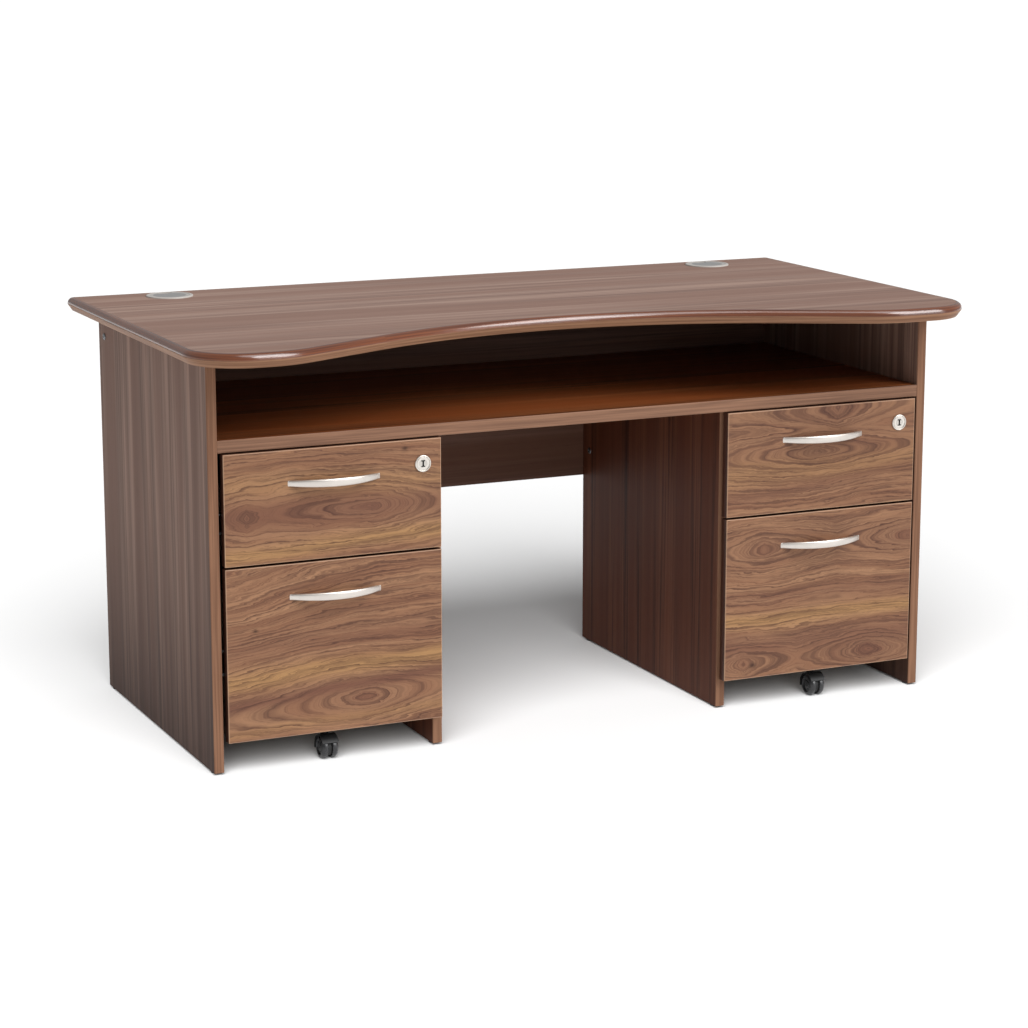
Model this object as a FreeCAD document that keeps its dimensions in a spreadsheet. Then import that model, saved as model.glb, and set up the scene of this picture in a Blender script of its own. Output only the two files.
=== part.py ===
import FreeCAD, Part
import math
import os
from types import SimpleNamespace

import Sketcher

# Writing desk with a wave-front worktop and two fixed pedestals of two drawers each.
# Millimetres. +X is the desk's right, +Y its back, +Z up. The origin lies on the floor
# under the middle of the worktop. Every driving dimension is a cell of the sheet Sizes.

SIZES = {
    # worktop: overall size, wave front and corners
    "top_width": 1500.0,
    "top_depth": 800.0,
    "desk_height": 745.0,
    "top_thickness": 25.0,
    "side_overhang": 45.0,
    "front_setback": 117.0,
    "wave_depth": 183.0,
    "wave_offset": 15.0,
    "wave_shoulder": 37.0,
    "wave_peak_radius": 180.0,
    "wave_slope_degrees": 26.0,
    "front_corner_radius": 100.0,
    "back_corner_radius": 12.0,
    "board_corner_radius": 2.0,
    # edge moulding round the worktop
    "moulding_width": 22.0,
    "moulding_round": 11.0,
    "moulding_under_width": 9.0,
    "moulding_under_height": 13.0,
    # boards of the carcass
    "board_thickness": 18.0,
    "board_arris": 1.2,
    "back_setback": 58.0,
    "kneehole_width": 552.0,
    "inner_panel_setback": 12.0,
    "back_panel_recess": 27.0,
    "shelf_thickness": 22.0,
    "shelf_top_height": 583.0,
    "back_panel_bottom": 340.0,
    "pedestal_back_recess": 20.0,
    # glides under the panels
    "glide_height": 4.0,
    "glide_radius": 8.5,
    "glide_edge_distance": 20.0,
    # connector bolts with domed heads
    "bolt_radius": 3.0,
    "bolt_length": 50.0,
    "bolt_head_radius": 6.5,
    "bolt_head_height": 2.5,
    "bolt_dome_share": 0.7,
    "bolt_top_distance": 40.0,
    "pedestal_bolt_height": 394.0,
    "bore_clearance": 0.05,
    # cam discs and their dowels
    "cam_radius": 7.5,
    "cam_depth": 12.5,
    "cam_edge_distance": 24.0,
    "cam_end_distance": 90.0,
    "dowel_radius": 3.0,
    "dowel_grip": 11.0,
    # cable ports
    "port_side_distance": 180.0,
    "port_back_distance": 69.0,
    "port_bore_radius": 40.0,
    "port_flange_radius": 44.0,
    "port_flange_height": 2.5,
    "port_flange_bevel": 1.0,
    "port_barrel_length": 20.0,
    "port_barrel_wall": 2.0,
    "port_ledge_width": 3.0,
    "port_lid_thickness": 3.0,
    "port_lid_sink": 0.6,
    "port_slot_width": 30.0,
    "port_slot_depth": 17.0,
    "running_clearance": 0.08,
    # drawer fronts
    "front_thickness": 18.0,
    "front_proud": 7.0,
    "front_reveal": 7.0,
    "front_bottom_height": 56.0,
    "front_gap": 4.0,
    "front_top_gap": 2.0,
    "upper_front_height": 194.0,
    "front_arris": 1.5,
    # drawer boxes
    "drawer_side_thickness": 12.0,
    "drawer_rear_gap": 31.0,
    "upper_side_height": 110.0,
    "upper_bottom_thickness": 6.0,
    "upper_box_lift": 14.0,
    "file_side_height": 240.0,
    "file_bottom_thickness": 16.0,
    "file_box_lift": 6.0,
    # drawer runners
    "runner_space": 13.0,
    "runner_steel": 1.2,
    "runner_play": 0.3,
    "runner_channel_depth": 9.0,
    "upper_runner_height": 35.0,
    "upper_runner_lift": 40.0,
    "file_runner_height": 45.0,
    "file_runner_lift": 110.0,
    "runner_front_gap": 3.0,
    "runner_rear_gap": 7.0,
    # bow handles
    "handle_length": 168.0,
    "handle_reach": 26.0,
    "handle_height": 14.0,
    "handle_end_height": 10.0,
    "handle_thickness": 5.0,
    "handle_crown": 1.6,
    "handle_drop": 58.0,
    # locks of the upper drawers
    "lock_drop": 43.0,
    "lock_edge_distance": 34.5,
    "lock_disc_radius": 15.0,
    "lock_disc_height": 2.6,
    "lock_rim_width": 2.6,
    "lock_face_sink": 0.7,
    "lock_barrel_radius": 9.4,
    "lock_barrel_length": 26.0,
    "lock_plug_radius": 7.0,
    "lock_neck_radius": 4.0,
    "lock_cam_gap": 0.3,
    "lock_cam_thickness": 2.5,
    "lock_cam_reach": 18.0,
    "lock_cam_width": 12.0,
    "keyway_width": 1.5,
    "keyway_height": 9.0,
    "keyway_end_radius": 1.5,
    "keyway_depth": 5.0,
    "keeper_width": 22.0,
    "keeper_steel": 2.0,
    "keeper_leaf_length": 18.0,
    "keeper_height": 30.0,
    "keeper_cam_gap": 1.8,
    # support castors under the file drawers
    "castor_setback": 24.0,
    "castor_trail": 12.0,
    "castor_wheel_radius": 20.0,
    "castor_wheel_width": 11.0,
    "castor_wheel_round": 3.0,
    "castor_hub_radius": 13.0,
    "castor_hub_sink": 2.5,
    "castor_web_thickness": 6.4,
    "castor_web_radius": 16.0,
    "castor_play": 0.8,
    "castor_axle_radius": 3.0,
    "castor_hood_gap": 1.2,
    "castor_hood_thickness": 2.0,
    "castor_hood_start_degrees": -15.0,
    "castor_hood_sweep_degrees": 165.0,
    "castor_boss_radius": 7.0,
    "castor_pin_radius": 4.0,
    "castor_plate_size": 38.0,
    "castor_plate_thickness": 2.5,
    "castor_sleeve_radius": 8.0,
    "castor_sleeve_gap": 0.3,
    # one overrun for every cut that goes right through
    "overrun": 2.0,
}

document = FreeCAD.newDocument("Desk")
sheet = document.addObject("Spreadsheet::Sheet", "Sizes")
for row, (alias, number) in enumerate(SIZES.items(), start=1):
    sheet.set("A%d" % row, alias)
    sheet.set("B%d" % row, str(number))
    sheet.setAlias("B%d" % row, alias)
document.recompute()

sub_parts = {}


class Size:
    """A length held twice: as an expression on the sheet's cells and as its value now."""

    def __init__(self, text, value):
        self.text = text
        self.value = value

    def __add__(self, other):
        other = as_size(other)
        return Size("(%s + %s)" % (self.text, other.text), self.value + other.value)

    def __sub__(self, other):
        other = as_size(other)
        return Size("(%s - %s)" % (self.text, other.text), self.value - other.value)

    def __mul__(self, other):
        other = as_size(other)
        return Size("(%s * %s)" % (self.text, other.text), self.value * other.value)

    def __truediv__(self, other):
        other = as_size(other)
        return Size("(%s / %s)" % (self.text, other.text), self.value / other.value)

    def __neg__(self):
        return Size("(0 - %s)" % self.text, -self.value)


def as_size(number):
    return number if isinstance(number, Size) else Size(repr(number), number)


s = SimpleNamespace(**{alias: Size("Sizes." + alias, sheet.get(alias)) for alias in SIZES})

# Planes and levels that several pieces share, each worked out once.
panel_half = s.top_width / 2 - s.side_overhang
panel_front = s.front_setback - s.top_depth / 2
panel_back = s.top_depth / 2 - s.back_setback
panel_top = s.desk_height - s.top_thickness
cavity_half_outer = panel_half - s.board_thickness
knee_half = s.kneehole_width / 2
cavity_half_inner = knee_half + s.board_thickness
cavity_width = cavity_half_outer - cavity_half_inner
inner_front = panel_front + s.inner_panel_setback
inner_back = panel_back - s.back_panel_recess - s.board_thickness
shelf_under = s.shelf_top_height - s.shelf_thickness
pedestal_back_face = inner_back - s.pedestal_back_recess - s.board_thickness
bolt_back_y = inner_back + s.board_thickness / 2
bolt_pedestal_y = pedestal_back_face + s.board_thickness / 2
front_face = panel_front - s.front_proud
front_rear = front_face + s.front_thickness
front_width = cavity_width + s.board_thickness - s.front_reveal * 2
upper_front_bottom = shelf_under - s.front_top_gap - s.upper_front_height
file_front_height = upper_front_bottom - s.front_gap - s.front_bottom_height
drawer_width = cavity_width - s.runner_space * 2
drawer_length = pedestal_back_face - s.drawer_rear_gap - front_rear
runner_length = drawer_length - s.runner_front_gap - s.runner_rear_gap
lock_height = upper_front_bottom + s.upper_front_height - s.lock_drop
port_x = s.top_width / 2 - s.port_side_distance
port_y = s.top_depth / 2 - s.port_back_distance

AXES = {
    "x": FreeCAD.Vector(1, 0, 0),
    "y": FreeCAD.Vector(0, 1, 0),
    "z": FreeCAD.Vector(0, 0, 1),
    "-x": FreeCAD.Vector(-1, 0, 0),
    "-y": FreeCAD.Vector(0, -1, 0),
}


def bind(item, path, size):
    """Tie one property of an object to the sheet."""
    item.setExpression(path, as_size(size).text)


def place(item, x, y, z, rotation=None):
    """Put an object at x, y, z, turned by rotation, with its place tied to the sheet."""
    if rotation is not None:
        item.Placement = FreeCAD.Placement(FreeCAD.Vector(0, 0, 0), rotation)
    bind(item, "Placement.Base.x", x)
    bind(item, "Placement.Base.y", y)
    bind(item, "Placement.Base.z", z)
    return item


def along(axis):
    """The turn that brings an object's own Z onto the named axis."""
    return FreeCAD.Rotation(AXES["z"], AXES[axis])


def keep(item, node):
    """Name a finished sub-part; its label is its node and its file."""
    item.Label = node
    sub_parts[node] = item
    return item


def block(name, length, width, height, x, y, z):
    """A plain block with its low corner at x, y, z."""
    item = document.addObject("Part::Box", name)
    bind(item, "Length", length)
    bind(item, "Width", width)
    bind(item, "Height", height)
    return place(item, x, y, z)


def rod(name, radius, length, x, y, z, axis="z"):
    """A round rod or bore that starts at x, y, z and runs along the named axis."""
    item = document.addObject("Part::Cylinder", name)
    bind(item, "Radius", radius)
    bind(item, "Height", length)
    return place(item, x, y, z, along(axis))


def cut(name, base, tools):
    """The base with every tool taken away."""
    tool = tools[0]
    if len(tools) > 1:
        tool = document.addObject("Part::Compound", name + "_tools")
        tool.Links = tools
    item = document.addObject("Part::Cut", name)
    item.Base = base
    item.Tool = tool
    return item


def fuse(name, pieces):
    item = document.addObject("Part::MultiFuse", name)
    item.Shapes = pieces
    return item


def group(name, pieces):
    """Separate solids that share one node."""
    item = document.addObject("Part::Compound", name)
    item.Links = pieces
    return item


def edges_where(shape, test):
    return [index for index, edge in enumerate(shape.Edges, start=1) if test(edge.BoundBox)]


def rounded(name, base, radius, test):
    """The base with the edges that pass the test rounded to radius."""
    document.recompute()
    item = document.addObject("Part::Fillet", name)
    item.Base = base
    item.Edges = [(index, radius.value, radius.value) for index in edges_where(base.Shape, test)]
    return item


def new_body(name):
    return document.addObject("PartDesign::Body", name)


def new_sketch(body, name, role):
    """An empty sketch on one of the body's own origin planes."""
    item = body.newObject("Sketcher::SketchObject", name)
    plane = next(feature for feature in body.Origin.OriginFeatures if feature.Role == role)
    item.AttachmentSupport = [(plane, "")]
    item.MapMode = "FlatFace"
    return item


def fixed_distance(item, kind, geometry, point, size):
    """A named distance from the sketch's origin to a point, tied to the sheet."""
    index = item.addConstraint(Sketcher.Constraint(kind, -1, 1, geometry, point, size.value))
    item.setExpression("Constraints[%d]" % index, size.text)


def draw_rectangle(item, width, height):
    """A rectangle from the sketch's origin, its two sides tied to the sheet."""
    corners = [(0, 0), (width.value, 0), (width.value, height.value), (0, height.value)]
    first = draw_polygon(item, corners)
    item.addConstraint(Sketcher.Constraint("Horizontal", first))
    item.addConstraint(Sketcher.Constraint("Vertical", first + 1))
    item.addConstraint(Sketcher.Constraint("Horizontal", first + 2))
    item.addConstraint(Sketcher.Constraint("Vertical", first + 3))
    item.addConstraint(Sketcher.Constraint("Coincident", first, 1, -1, 1))
    fixed_distance(item, "DistanceX", first, 2, width)
    fixed_distance(item, "DistanceY", first + 1, 2, height)


def draw_polygon(item, corners):
    """Straight lines through the corners and back to the first, joined end to end."""
    first = item.GeometryCount
    points = [FreeCAD.Vector(x, y, 0) for x, y in corners]
    for start, end in zip(points, points[1:] + points[:1]):
        item.addGeometry(Part.LineSegment(start, end))
    last = first + len(points) - 1
    for index in range(first, last):
        item.addConstraint(Sketcher.Constraint("Coincident", index, 2, index + 1, 1))
    item.addConstraint(Sketcher.Constraint("Coincident", last, 2, first, 1))
    return first


def draw_circle(item, x, y, radius):
    """A circle whose centre and radius are tied to the sheet."""
    centre = FreeCAD.Vector(x.value, y.value, 0)
    index = item.addGeometry(Part.Circle(centre, AXES["z"], radius.value))
    size = item.addConstraint(Sketcher.Constraint("Radius", index, radius.value))
    item.setExpression("Constraints[%d]" % size, radius.text)
    fixed_distance(item, "DistanceX", index, 3, x)
    fixed_distance(item, "DistanceY", index, 3, y)


def pad(body, name, profile, length, reverse=False):
    item = body.newObject("PartDesign::Pad", name)
    item.Profile = profile
    bind(item, "Length", length)
    item.Reversed = reverse
    return item


def pocket(body, name, profile, length, reverse=False):
    """A cut that has to take something away."""
    document.recompute()
    before = body.Shape.Volume
    item = body.newObject("PartDesign::Pocket", name)
    item.Profile = profile
    bind(item, "Length", length)
    item.Reversed = reverse
    document.recompute()
    if body.Shape.Volume >= before:
        raise ValueError(name + " cuts nothing")
    return item


def revolve(body, name, profile):
    """The profile turned once round the sketch's vertical axis."""
    item = body.newObject("PartDesign::Revolution", name)
    item.Profile = profile
    item.ReferenceAxis = (profile, ["V_Axis"])
    item.Angle = 360
    return item


def turned(name, profile_points):
    """A body turned round Z from points given as radius and height."""
    body = new_body(name)
    profile = new_sketch(body, name + "_profile", "XZ_Plane")
    draw_polygon(profile, [(radius.value, height.value) for radius, height in profile_points])
    revolve(body, name + "_turning", profile)
    return body


def dressed(body, kind, name, base, size, test):
    """A fillet or chamfer on the edges of the base feature that pass the test."""
    document.recompute()
    item = body.newObject("PartDesign::" + kind, name)
    item.Base = (base, ["Edge%d" % index for index in edges_where(base.Shape, test)])
    bind(item, "Radius" if kind == "Fillet" else "Size", size)
    return item


# Worktop and its moulded edge

def arc(centre_x, centre_y, radius, start_degrees, end_degrees):
    circle = Part.Circle(FreeCAD.Vector(centre_x, centre_y, 0), AXES["z"], radius)
    return Part.ArcOfCircle(circle, math.radians(start_degrees), math.radians(end_degrees))


def worktop_outline(inset):
    """The worktop's plan, drawn inwards by inset.

    A shallow hollow in the middle of the front runs through two straight slopes into a
    rounded peak on each side, and from there round the front corners to the straight
    sides and back. All stretches meet in tangents, so the plan stays parallel to itself.
    Only the back corners keep a small curve of their own where the inset passes theirs.
    The hollow's radius is the one that carries the wave out to the shoulders, where the
    reach is the sum of both radii times the tangent of half the slope, and what the
    slope takes to fall through the wave's depth.
    """
    slope = s.wave_slope_degrees.value
    steepness = math.tan(math.radians(slope))
    half = s.top_width.value / 2 - inset
    front = inset - s.top_depth.value / 2
    back = -front
    middle = front + s.wave_depth.value
    centre = -s.wave_offset.value
    reach = s.top_width.value / 2 - s.front_corner_radius.value - s.wave_shoulder.value
    radii = (reach - s.wave_depth.value / steepness) / math.tan(math.radians(slope / 2))
    hollow = radii - s.wave_peak_radius.value + inset
    peak = s.wave_peak_radius.value - inset
    corner = s.front_corner_radius.value - inset
    rear = max(s.back_corner_radius.value - inset, s.board_corner_radius.value)
    right_peak = centre + reach
    left_peak = centre - reach
    arcs = [
        arc(centre, middle - hollow, hollow, 90 - slope, 90 + slope),
        arc(left_peak, front + peak, peak, 270, 270 + slope),
        arc(corner - half, front + corner, corner, 180, 270),
        arc(rear - half, back - rear, rear, 90, 180),
        arc(half - rear, back - rear, rear, 0, 90),
        arc(half - corner, front + corner, corner, 270, 360),
        arc(right_peak, front + peak, peak, 270 - slope, 270),
    ]
    lines = [
        Part.LineSegment(arcs[0].EndPoint, arcs[1].EndPoint),
        Part.LineSegment(arcs[1].StartPoint, arcs[2].EndPoint),
        Part.LineSegment(arcs[2].StartPoint, arcs[3].EndPoint),
        Part.LineSegment(arcs[3].StartPoint, arcs[4].EndPoint),
        Part.LineSegment(arcs[4].StartPoint, arcs[5].EndPoint),
        Part.LineSegment(arcs[5].StartPoint, arcs[6].EndPoint),
        Part.LineSegment(arcs[6].StartPoint, arcs[0].StartPoint),
    ]
    return arcs + lines


def draw_outline(item, inset):
    for edge in worktop_outline(inset.value):
        item.addGeometry(edge)


def make_worktop():
    """The board, with the bores of both cable ports and of the dowels in its underside."""
    body = new_body("worktop")
    outline = new_sketch(body, "worktop_outline", "XY_Plane")
    draw_outline(outline, s.moulding_width)
    pad(body, "worktop_board", outline, s.top_thickness)
    ports = new_sketch(body, "worktop_port_circles", "XY_Plane")
    for side in (-1, 1):
        draw_circle(ports, port_x * side, port_y, s.port_bore_radius)
    pocket(body, "worktop_ports", ports, s.top_thickness, reverse=True)
    bores = new_sketch(body, "worktop_dowel_circles", "XY_Plane")
    for side in (-1, 1):
        for y in end_cam_rows():
            draw_circle(bores, end_cam_x() * side, y, s.dowel_radius + s.bore_clearance)
    pocket(body, "worktop_dowel_bores", bores, s.dowel_grip, reverse=True)
    keep(place(body, 0, 0, panel_top), "worktop")


def make_worktop_edge():
    """The moulding: full round above, slanting in below, open in the middle for the board."""
    body = new_body("worktop_edge_moulding")
    outline = new_sketch(body, "moulding_outline", "XY_Plane")
    draw_outline(outline, as_size(0))
    blank = pad(body, "moulding_blank", outline, s.top_thickness)
    top = s.top_thickness.value
    upper = dressed(body, "Fillet", "moulding_upper_round", blank, s.moulding_round,
                    lambda box: box.ZMin > top / 2)
    lower = dressed(body, "Chamfer", "moulding_under_slant", upper, s.moulding_under_height,
                    lambda box: box.ZMax < top / 4)
    lower.ChamferType = "Two distances"
    bind(lower, "Size2", s.moulding_under_width)
    seat = new_sketch(body, "moulding_board_seat", "XY_Plane")
    draw_outline(seat, s.moulding_width)
    pocket(body, "moulding_opening", seat, s.top_thickness, reverse=True)
    keep(place(body, 0, 0, panel_top), "worktop_edge_moulding")


# Places of the fittings that hold the carcass together

def end_cam_x():
    return panel_half - s.board_thickness / 2


def end_cam_rows():
    return [panel_front + s.cam_end_distance, panel_back - s.cam_end_distance]


def glide_rows(front, back):
    return [front + s.glide_edge_distance, back - s.glide_edge_distance]


def front_edges(front, upright):
    """A test for the edges on a board's front face, the upright or the lying ones."""
    limit = front.value + s.bore_clearance.value
    return lambda box: box.YMax < limit and (box.ZLength > box.XLength) == upright


def standing_panel(node, low_x, front, back, top, tools):
    """An upright board that stands on its glides, its front arrises rounded, bored by the tools."""
    blank = block(node + "_board", s.board_thickness, back - front, top - s.glide_height,
                  low_x, front, s.glide_height)
    smooth = rounded(node + "_arris", blank, s.board_arris, front_edges(front, True))
    keep(cut(node, smooth, tools), node)


def make_end_panel(name, side):
    """Full-height end panel with its bolt bore, and the cam and dowel bores under the worktop."""
    node = name + "_end_panel"
    low_x = -panel_half if side < 0 else cavity_half_outer
    inner_face = cavity_half_outer * side
    outward = "-x" if side < 0 else "x"
    tools = [rod(node + "_bolt_bore", s.bolt_radius + s.bore_clearance, s.board_thickness,
                 inner_face, bolt_back_y, panel_top - s.bolt_top_distance, outward)]
    for row, y in enumerate(end_cam_rows()):
        tools.append(rod("%s_cam_bore_%d" % (node, row), s.cam_radius + s.bore_clearance, s.cam_depth,
                         inner_face, y, panel_top - s.cam_edge_distance, outward))
        tools.append(rod("%s_dowel_bore_%d" % (node, row), s.dowel_radius + s.bore_clearance,
                         s.cam_edge_distance, end_cam_x() * side, y, panel_top - s.cam_edge_distance))
    standing_panel(node, low_x, panel_front, panel_back, panel_top, tools)


def make_inner_panel(name, side):
    """Panel between pedestal and kneehole, up to the shelf, bored for the pedestal back's bolt."""
    node = name + "_inner_panel"
    low_x = -cavity_half_inner if side < 0 else knee_half
    toward_pedestal = "-x" if side < 0 else "x"
    bolt = rod(node + "_bolt_bore", s.bolt_radius + s.bore_clearance, s.board_thickness,
               knee_half * side, bolt_pedestal_y, s.pedestal_bolt_height, toward_pedestal)
    standing_panel(node, low_x, inner_front, inner_back, shelf_under, [bolt])


def make_shelf():
    """Shelf over pedestals and kneehole, its front arrises rounded."""
    blank = block("shelf_board", cavity_half_outer * 2, inner_back - panel_front, s.shelf_thickness,
                  -cavity_half_outer, panel_front, shelf_under)
    keep(rounded("shelf_arris", blank, s.board_arris, front_edges(panel_front, False)), "shelf")


def make_back_panel():
    """One board behind the shelf space that hangs on as the kneehole's modesty panel."""
    blank = block("back_panel_board", cavity_half_outer * 2, s.board_thickness,
                  panel_top - s.back_panel_bottom, -cavity_half_outer, inner_back, s.back_panel_bottom)
    grip = s.bolt_length - s.board_thickness
    bores = [rod("back_panel_bore_%s" % name, s.bolt_radius + s.bore_clearance, grip,
                 cavity_half_outer * side, bolt_back_y, panel_top - s.bolt_top_distance, inward)
             for name, side, inward in (("left", -1, "x"), ("right", 1, "-x"))]
    keep(cut("back_panel", blank, bores), "back_panel")


def make_pedestal_back(name, side):
    """Board that closes the pedestal behind the drawers."""
    node = name + "_pedestal_back"
    low_x = -cavity_half_outer if side < 0 else cavity_half_inner
    blank = block(node + "_board", cavity_width, s.board_thickness, shelf_under - s.front_bottom_height,
                  low_x, pedestal_back_face, s.front_bottom_height)
    toward_pedestal = "-x" if side < 0 else "x"
    bore = rod(node + "_bore", s.bolt_radius + s.bore_clearance, s.bolt_length - s.board_thickness,
               cavity_half_inner * side, bolt_pedestal_y, s.pedestal_bolt_height, toward_pedestal)
    keep(cut(node, blank, [bore]), node)


def make_glides():
    """Plastic glides under the lower edges of the four standing panels."""
    rows = [(end_cam_x(), glide_rows(panel_front, panel_back)),
            (knee_half + s.board_thickness / 2, glide_rows(inner_front, inner_back))]
    places = [(x * side, y) for x, ys in rows for side in (-1, 1) for y in ys]
    glides = [rod("glide_%d" % index, s.glide_radius, s.glide_height, x, y, 0)
              for index, (x, y) in enumerate(places)]
    keep(group("panel_glides", glides), "panel_glides")


def bolt(name, x, y, z, axis):
    """A connector bolt whose domed head lies at x, y, z and whose shank runs along the axis."""
    profile = [
        (as_size(0), -s.bolt_head_height),
        (s.bolt_head_radius * s.bolt_dome_share, -s.bolt_head_height),
        (s.bolt_head_radius, as_size(0)),
        (s.bolt_radius, as_size(0)),
        (s.bolt_radius, s.bolt_length),
        (as_size(0), s.bolt_length),
    ]
    return place(turned(name, profile), x, y, z, along(axis))


def make_bolts():
    """Two bolts hold the back panel's ends, and one holds each pedestal back."""
    bolts = []
    for name, side in (("left", -1), ("right", 1)):
        inward = "x" if side < 0 else "-x"
        outward = "-x" if side < 0 else "x"
        bolts.append(bolt(name + "_back_bolt", panel_half * side, bolt_back_y,
                          panel_top - s.bolt_top_distance, inward))
        bolts.append(bolt(name + "_pedestal_bolt", knee_half * side, bolt_pedestal_y,
                          s.pedestal_bolt_height, outward))
    keep(group("connector_bolts", bolts), "connector_bolts")


def make_cam_fittings():
    """Cam discs in the end panels, each drawing a steel dowel of the worktop tight."""
    pieces = []
    for name, side in (("left", -1), ("right", 1)):
        outward = "-x" if side < 0 else "x"
        for row, y in enumerate(end_cam_rows()):
            label = "%s_top_%d" % (name, row)
            height = panel_top - s.cam_edge_distance
            disc = rod(label + "_disc", s.cam_radius, s.cam_depth,
                       cavity_half_outer * side, y, height, outward)
            start = height + s.cam_radius + s.bore_clearance
            dowel = rod(label + "_dowel", s.dowel_radius, panel_top + s.dowel_grip - start,
                        end_cam_x() * side, y, start)
            pieces += [disc, dowel]
    keep(group("cam_fittings", pieces), "cam_fittings")


# Cable ports

def make_grommet_rings():
    """Flanged rings in the worktop's two bores, each with a ledge for its lid."""
    outer = s.port_bore_radius - s.bore_clearance
    inner = outer - s.port_barrel_wall
    ledge = inner - s.port_ledge_width
    ledge_height = s.port_flange_height - s.port_lid_sink - s.port_lid_thickness
    profile = [
        (outer, -s.port_barrel_length),
        (outer, as_size(0)),
        (s.port_flange_radius, as_size(0)),
        (s.port_flange_radius - s.port_flange_bevel, s.port_flange_height),
        (inner, s.port_flange_height),
        (inner, ledge_height),
        (ledge, ledge_height),
        (ledge, -s.port_barrel_length),
    ]
    rings = [place(turned("grommet_ring_%s" % name, profile), port_x * side, port_y, s.desk_height)
             for name, side in (("left", -1), ("right", 1))]
    keep(group("grommet_rings", rings), "grommet_rings")


def make_grommet_lid(name, side):
    """Round lid on the ring's ledge, with a cable slot at the back of its rim."""
    node = name + "_grommet_lid"
    radius = s.port_bore_radius - s.bore_clearance - s.port_barrel_wall - s.running_clearance
    body = new_body(node)
    disc = new_sketch(body, node + "_circle", "XY_Plane")
    draw_circle(disc, as_size(0), as_size(0), radius)
    pad(body, node + "_disc", disc, s.port_lid_thickness)
    slot = new_sketch(body, node + "_slot_outline", "XY_Plane")
    half = s.port_slot_width.value / 2
    floor = radius.value - s.port_slot_depth.value
    turn = Part.Arc(FreeCAD.Vector(-half, floor + half, 0), FreeCAD.Vector(0, floor, 0),
                    FreeCAD.Vector(half, floor + half, 0))
    outside = radius.value + s.overrun.value
    left_low = FreeCAD.Vector(-half, floor + half, 0)
    right_low = FreeCAD.Vector(half, floor + half, 0)
    left_high = FreeCAD.Vector(-half, outside, 0)
    right_high = FreeCAD.Vector(half, outside, 0)
    slot.addGeometry(turn)
    slot.addGeometry(Part.LineSegment(right_low, right_high))
    slot.addGeometry(Part.LineSegment(right_high, left_high))
    slot.addGeometry(Part.LineSegment(left_high, left_low))
    pocket(body, node + "_slot", slot, s.port_lid_thickness, reverse=True)
    seat = s.desk_height + s.port_flange_height - s.port_lid_sink - s.port_lid_thickness
    keep(place(body, port_x * side, port_y, seat), node)


# Drawer fronts, boxes and runners

def make_drawer_front(node, left, bottom, height, lock_x):
    """A board with eased front edges, bored for its lock if it has one."""
    body = new_body(node)
    outline = new_sketch(body, node + "_outline", "XZ_Plane")
    draw_rectangle(outline, front_width, height)
    board = pad(body, node + "_board", outline, s.front_thickness, reverse=True)
    dressed(body, "Fillet", node + "_arris", board, s.front_arris,
            lambda box: box.YMax < s.front_arris.value / 2)
    if lock_x is not None:
        bore = new_sketch(body, node + "_lock_circle", "XZ_Plane")
        draw_circle(bore, lock_x, height - s.lock_drop, s.lock_barrel_radius + s.bore_clearance)
        pocket(body, node + "_lock_bore", bore, s.front_thickness)
    keep(place(body, left, front_face, bottom), node)


def make_handle(node, centre_x, height):
    """Bow handle: a crowned band that arches out and narrows to its ends.

    The band is a ring with a flat back and a crowned front, turned round the centre of
    the bow's arc. A lens-shaped block cuts the bow out of it and gives it its taper.
    """
    half_length = s.handle_length / 2
    radius = (half_length * half_length + s.handle_reach * s.handle_reach) / (s.handle_reach * 2)
    half = half_length.value
    crown = s.handle_height.value / 2
    outer = radius.value
    inner = outer - s.handle_thickness.value
    edge = outer - s.handle_crown.value
    ring = new_body(node + "_ring")
    section = new_sketch(ring, node + "_section", "XZ_Plane")
    low_inner = FreeCAD.Vector(inner, -crown, 0)
    low_edge = FreeCAD.Vector(edge, -crown, 0)
    high_edge = FreeCAD.Vector(edge, crown, 0)
    high_inner = FreeCAD.Vector(inner, crown, 0)
    section.addGeometry(Part.LineSegment(low_inner, low_edge))
    section.addGeometry(Part.Arc(low_edge, FreeCAD.Vector(outer, 0, 0), high_edge))
    section.addGeometry(Part.LineSegment(high_edge, high_inner))
    section.addGeometry(Part.LineSegment(high_inner, low_inner))
    revolve(ring, node + "_turning", section)
    place(ring, 0, radius - s.handle_reach, 0)
    face = new_body(node + "_face")
    lens = new_sketch(face, node + "_lens", "XZ_Plane")
    end = s.handle_end_height.value / 2
    low_left = FreeCAD.Vector(-half, -end, 0)
    low_right = FreeCAD.Vector(half, -end, 0)
    high_left = FreeCAD.Vector(-half, end, 0)
    high_right = FreeCAD.Vector(half, end, 0)
    lens.addGeometry(Part.Arc(low_left, FreeCAD.Vector(0, -crown, 0), low_right))
    lens.addGeometry(Part.LineSegment(low_right, high_right))
    lens.addGeometry(Part.Arc(high_right, FreeCAD.Vector(0, crown, 0), high_left))
    lens.addGeometry(Part.LineSegment(high_left, low_left))
    pad(face, node + "_lens_pad", lens, s.handle_reach)
    bow = document.addObject("Part::Common", node + "_bow")
    bow.Base = ring
    bow.Tool = face
    keep(place(group(node, [bow]), centre_x, front_face, height), node)


def make_drawer_box(node, left, underside, side_height, bottom_thickness):
    """Two sides and a back that stand on the bottom board."""
    depth = drawer_length
    thickness = s.drawer_side_thickness
    base = underside + bottom_thickness
    keep(block(node + "_bottom", drawer_width, depth, bottom_thickness, left, front_rear, underside),
         node + "_bottom")
    keep(block(node + "_left_side", thickness, depth, side_height, left, front_rear, base),
         node + "_left_side")
    keep(block(node + "_right_side", thickness, depth, side_height,
               left + drawer_width - thickness, front_rear, base), node + "_right_side")
    keep(block(node + "_back", drawer_width - thickness * 2, thickness, side_height,
               left + thickness, front_rear + depth - thickness, base), node + "_back")


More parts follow.
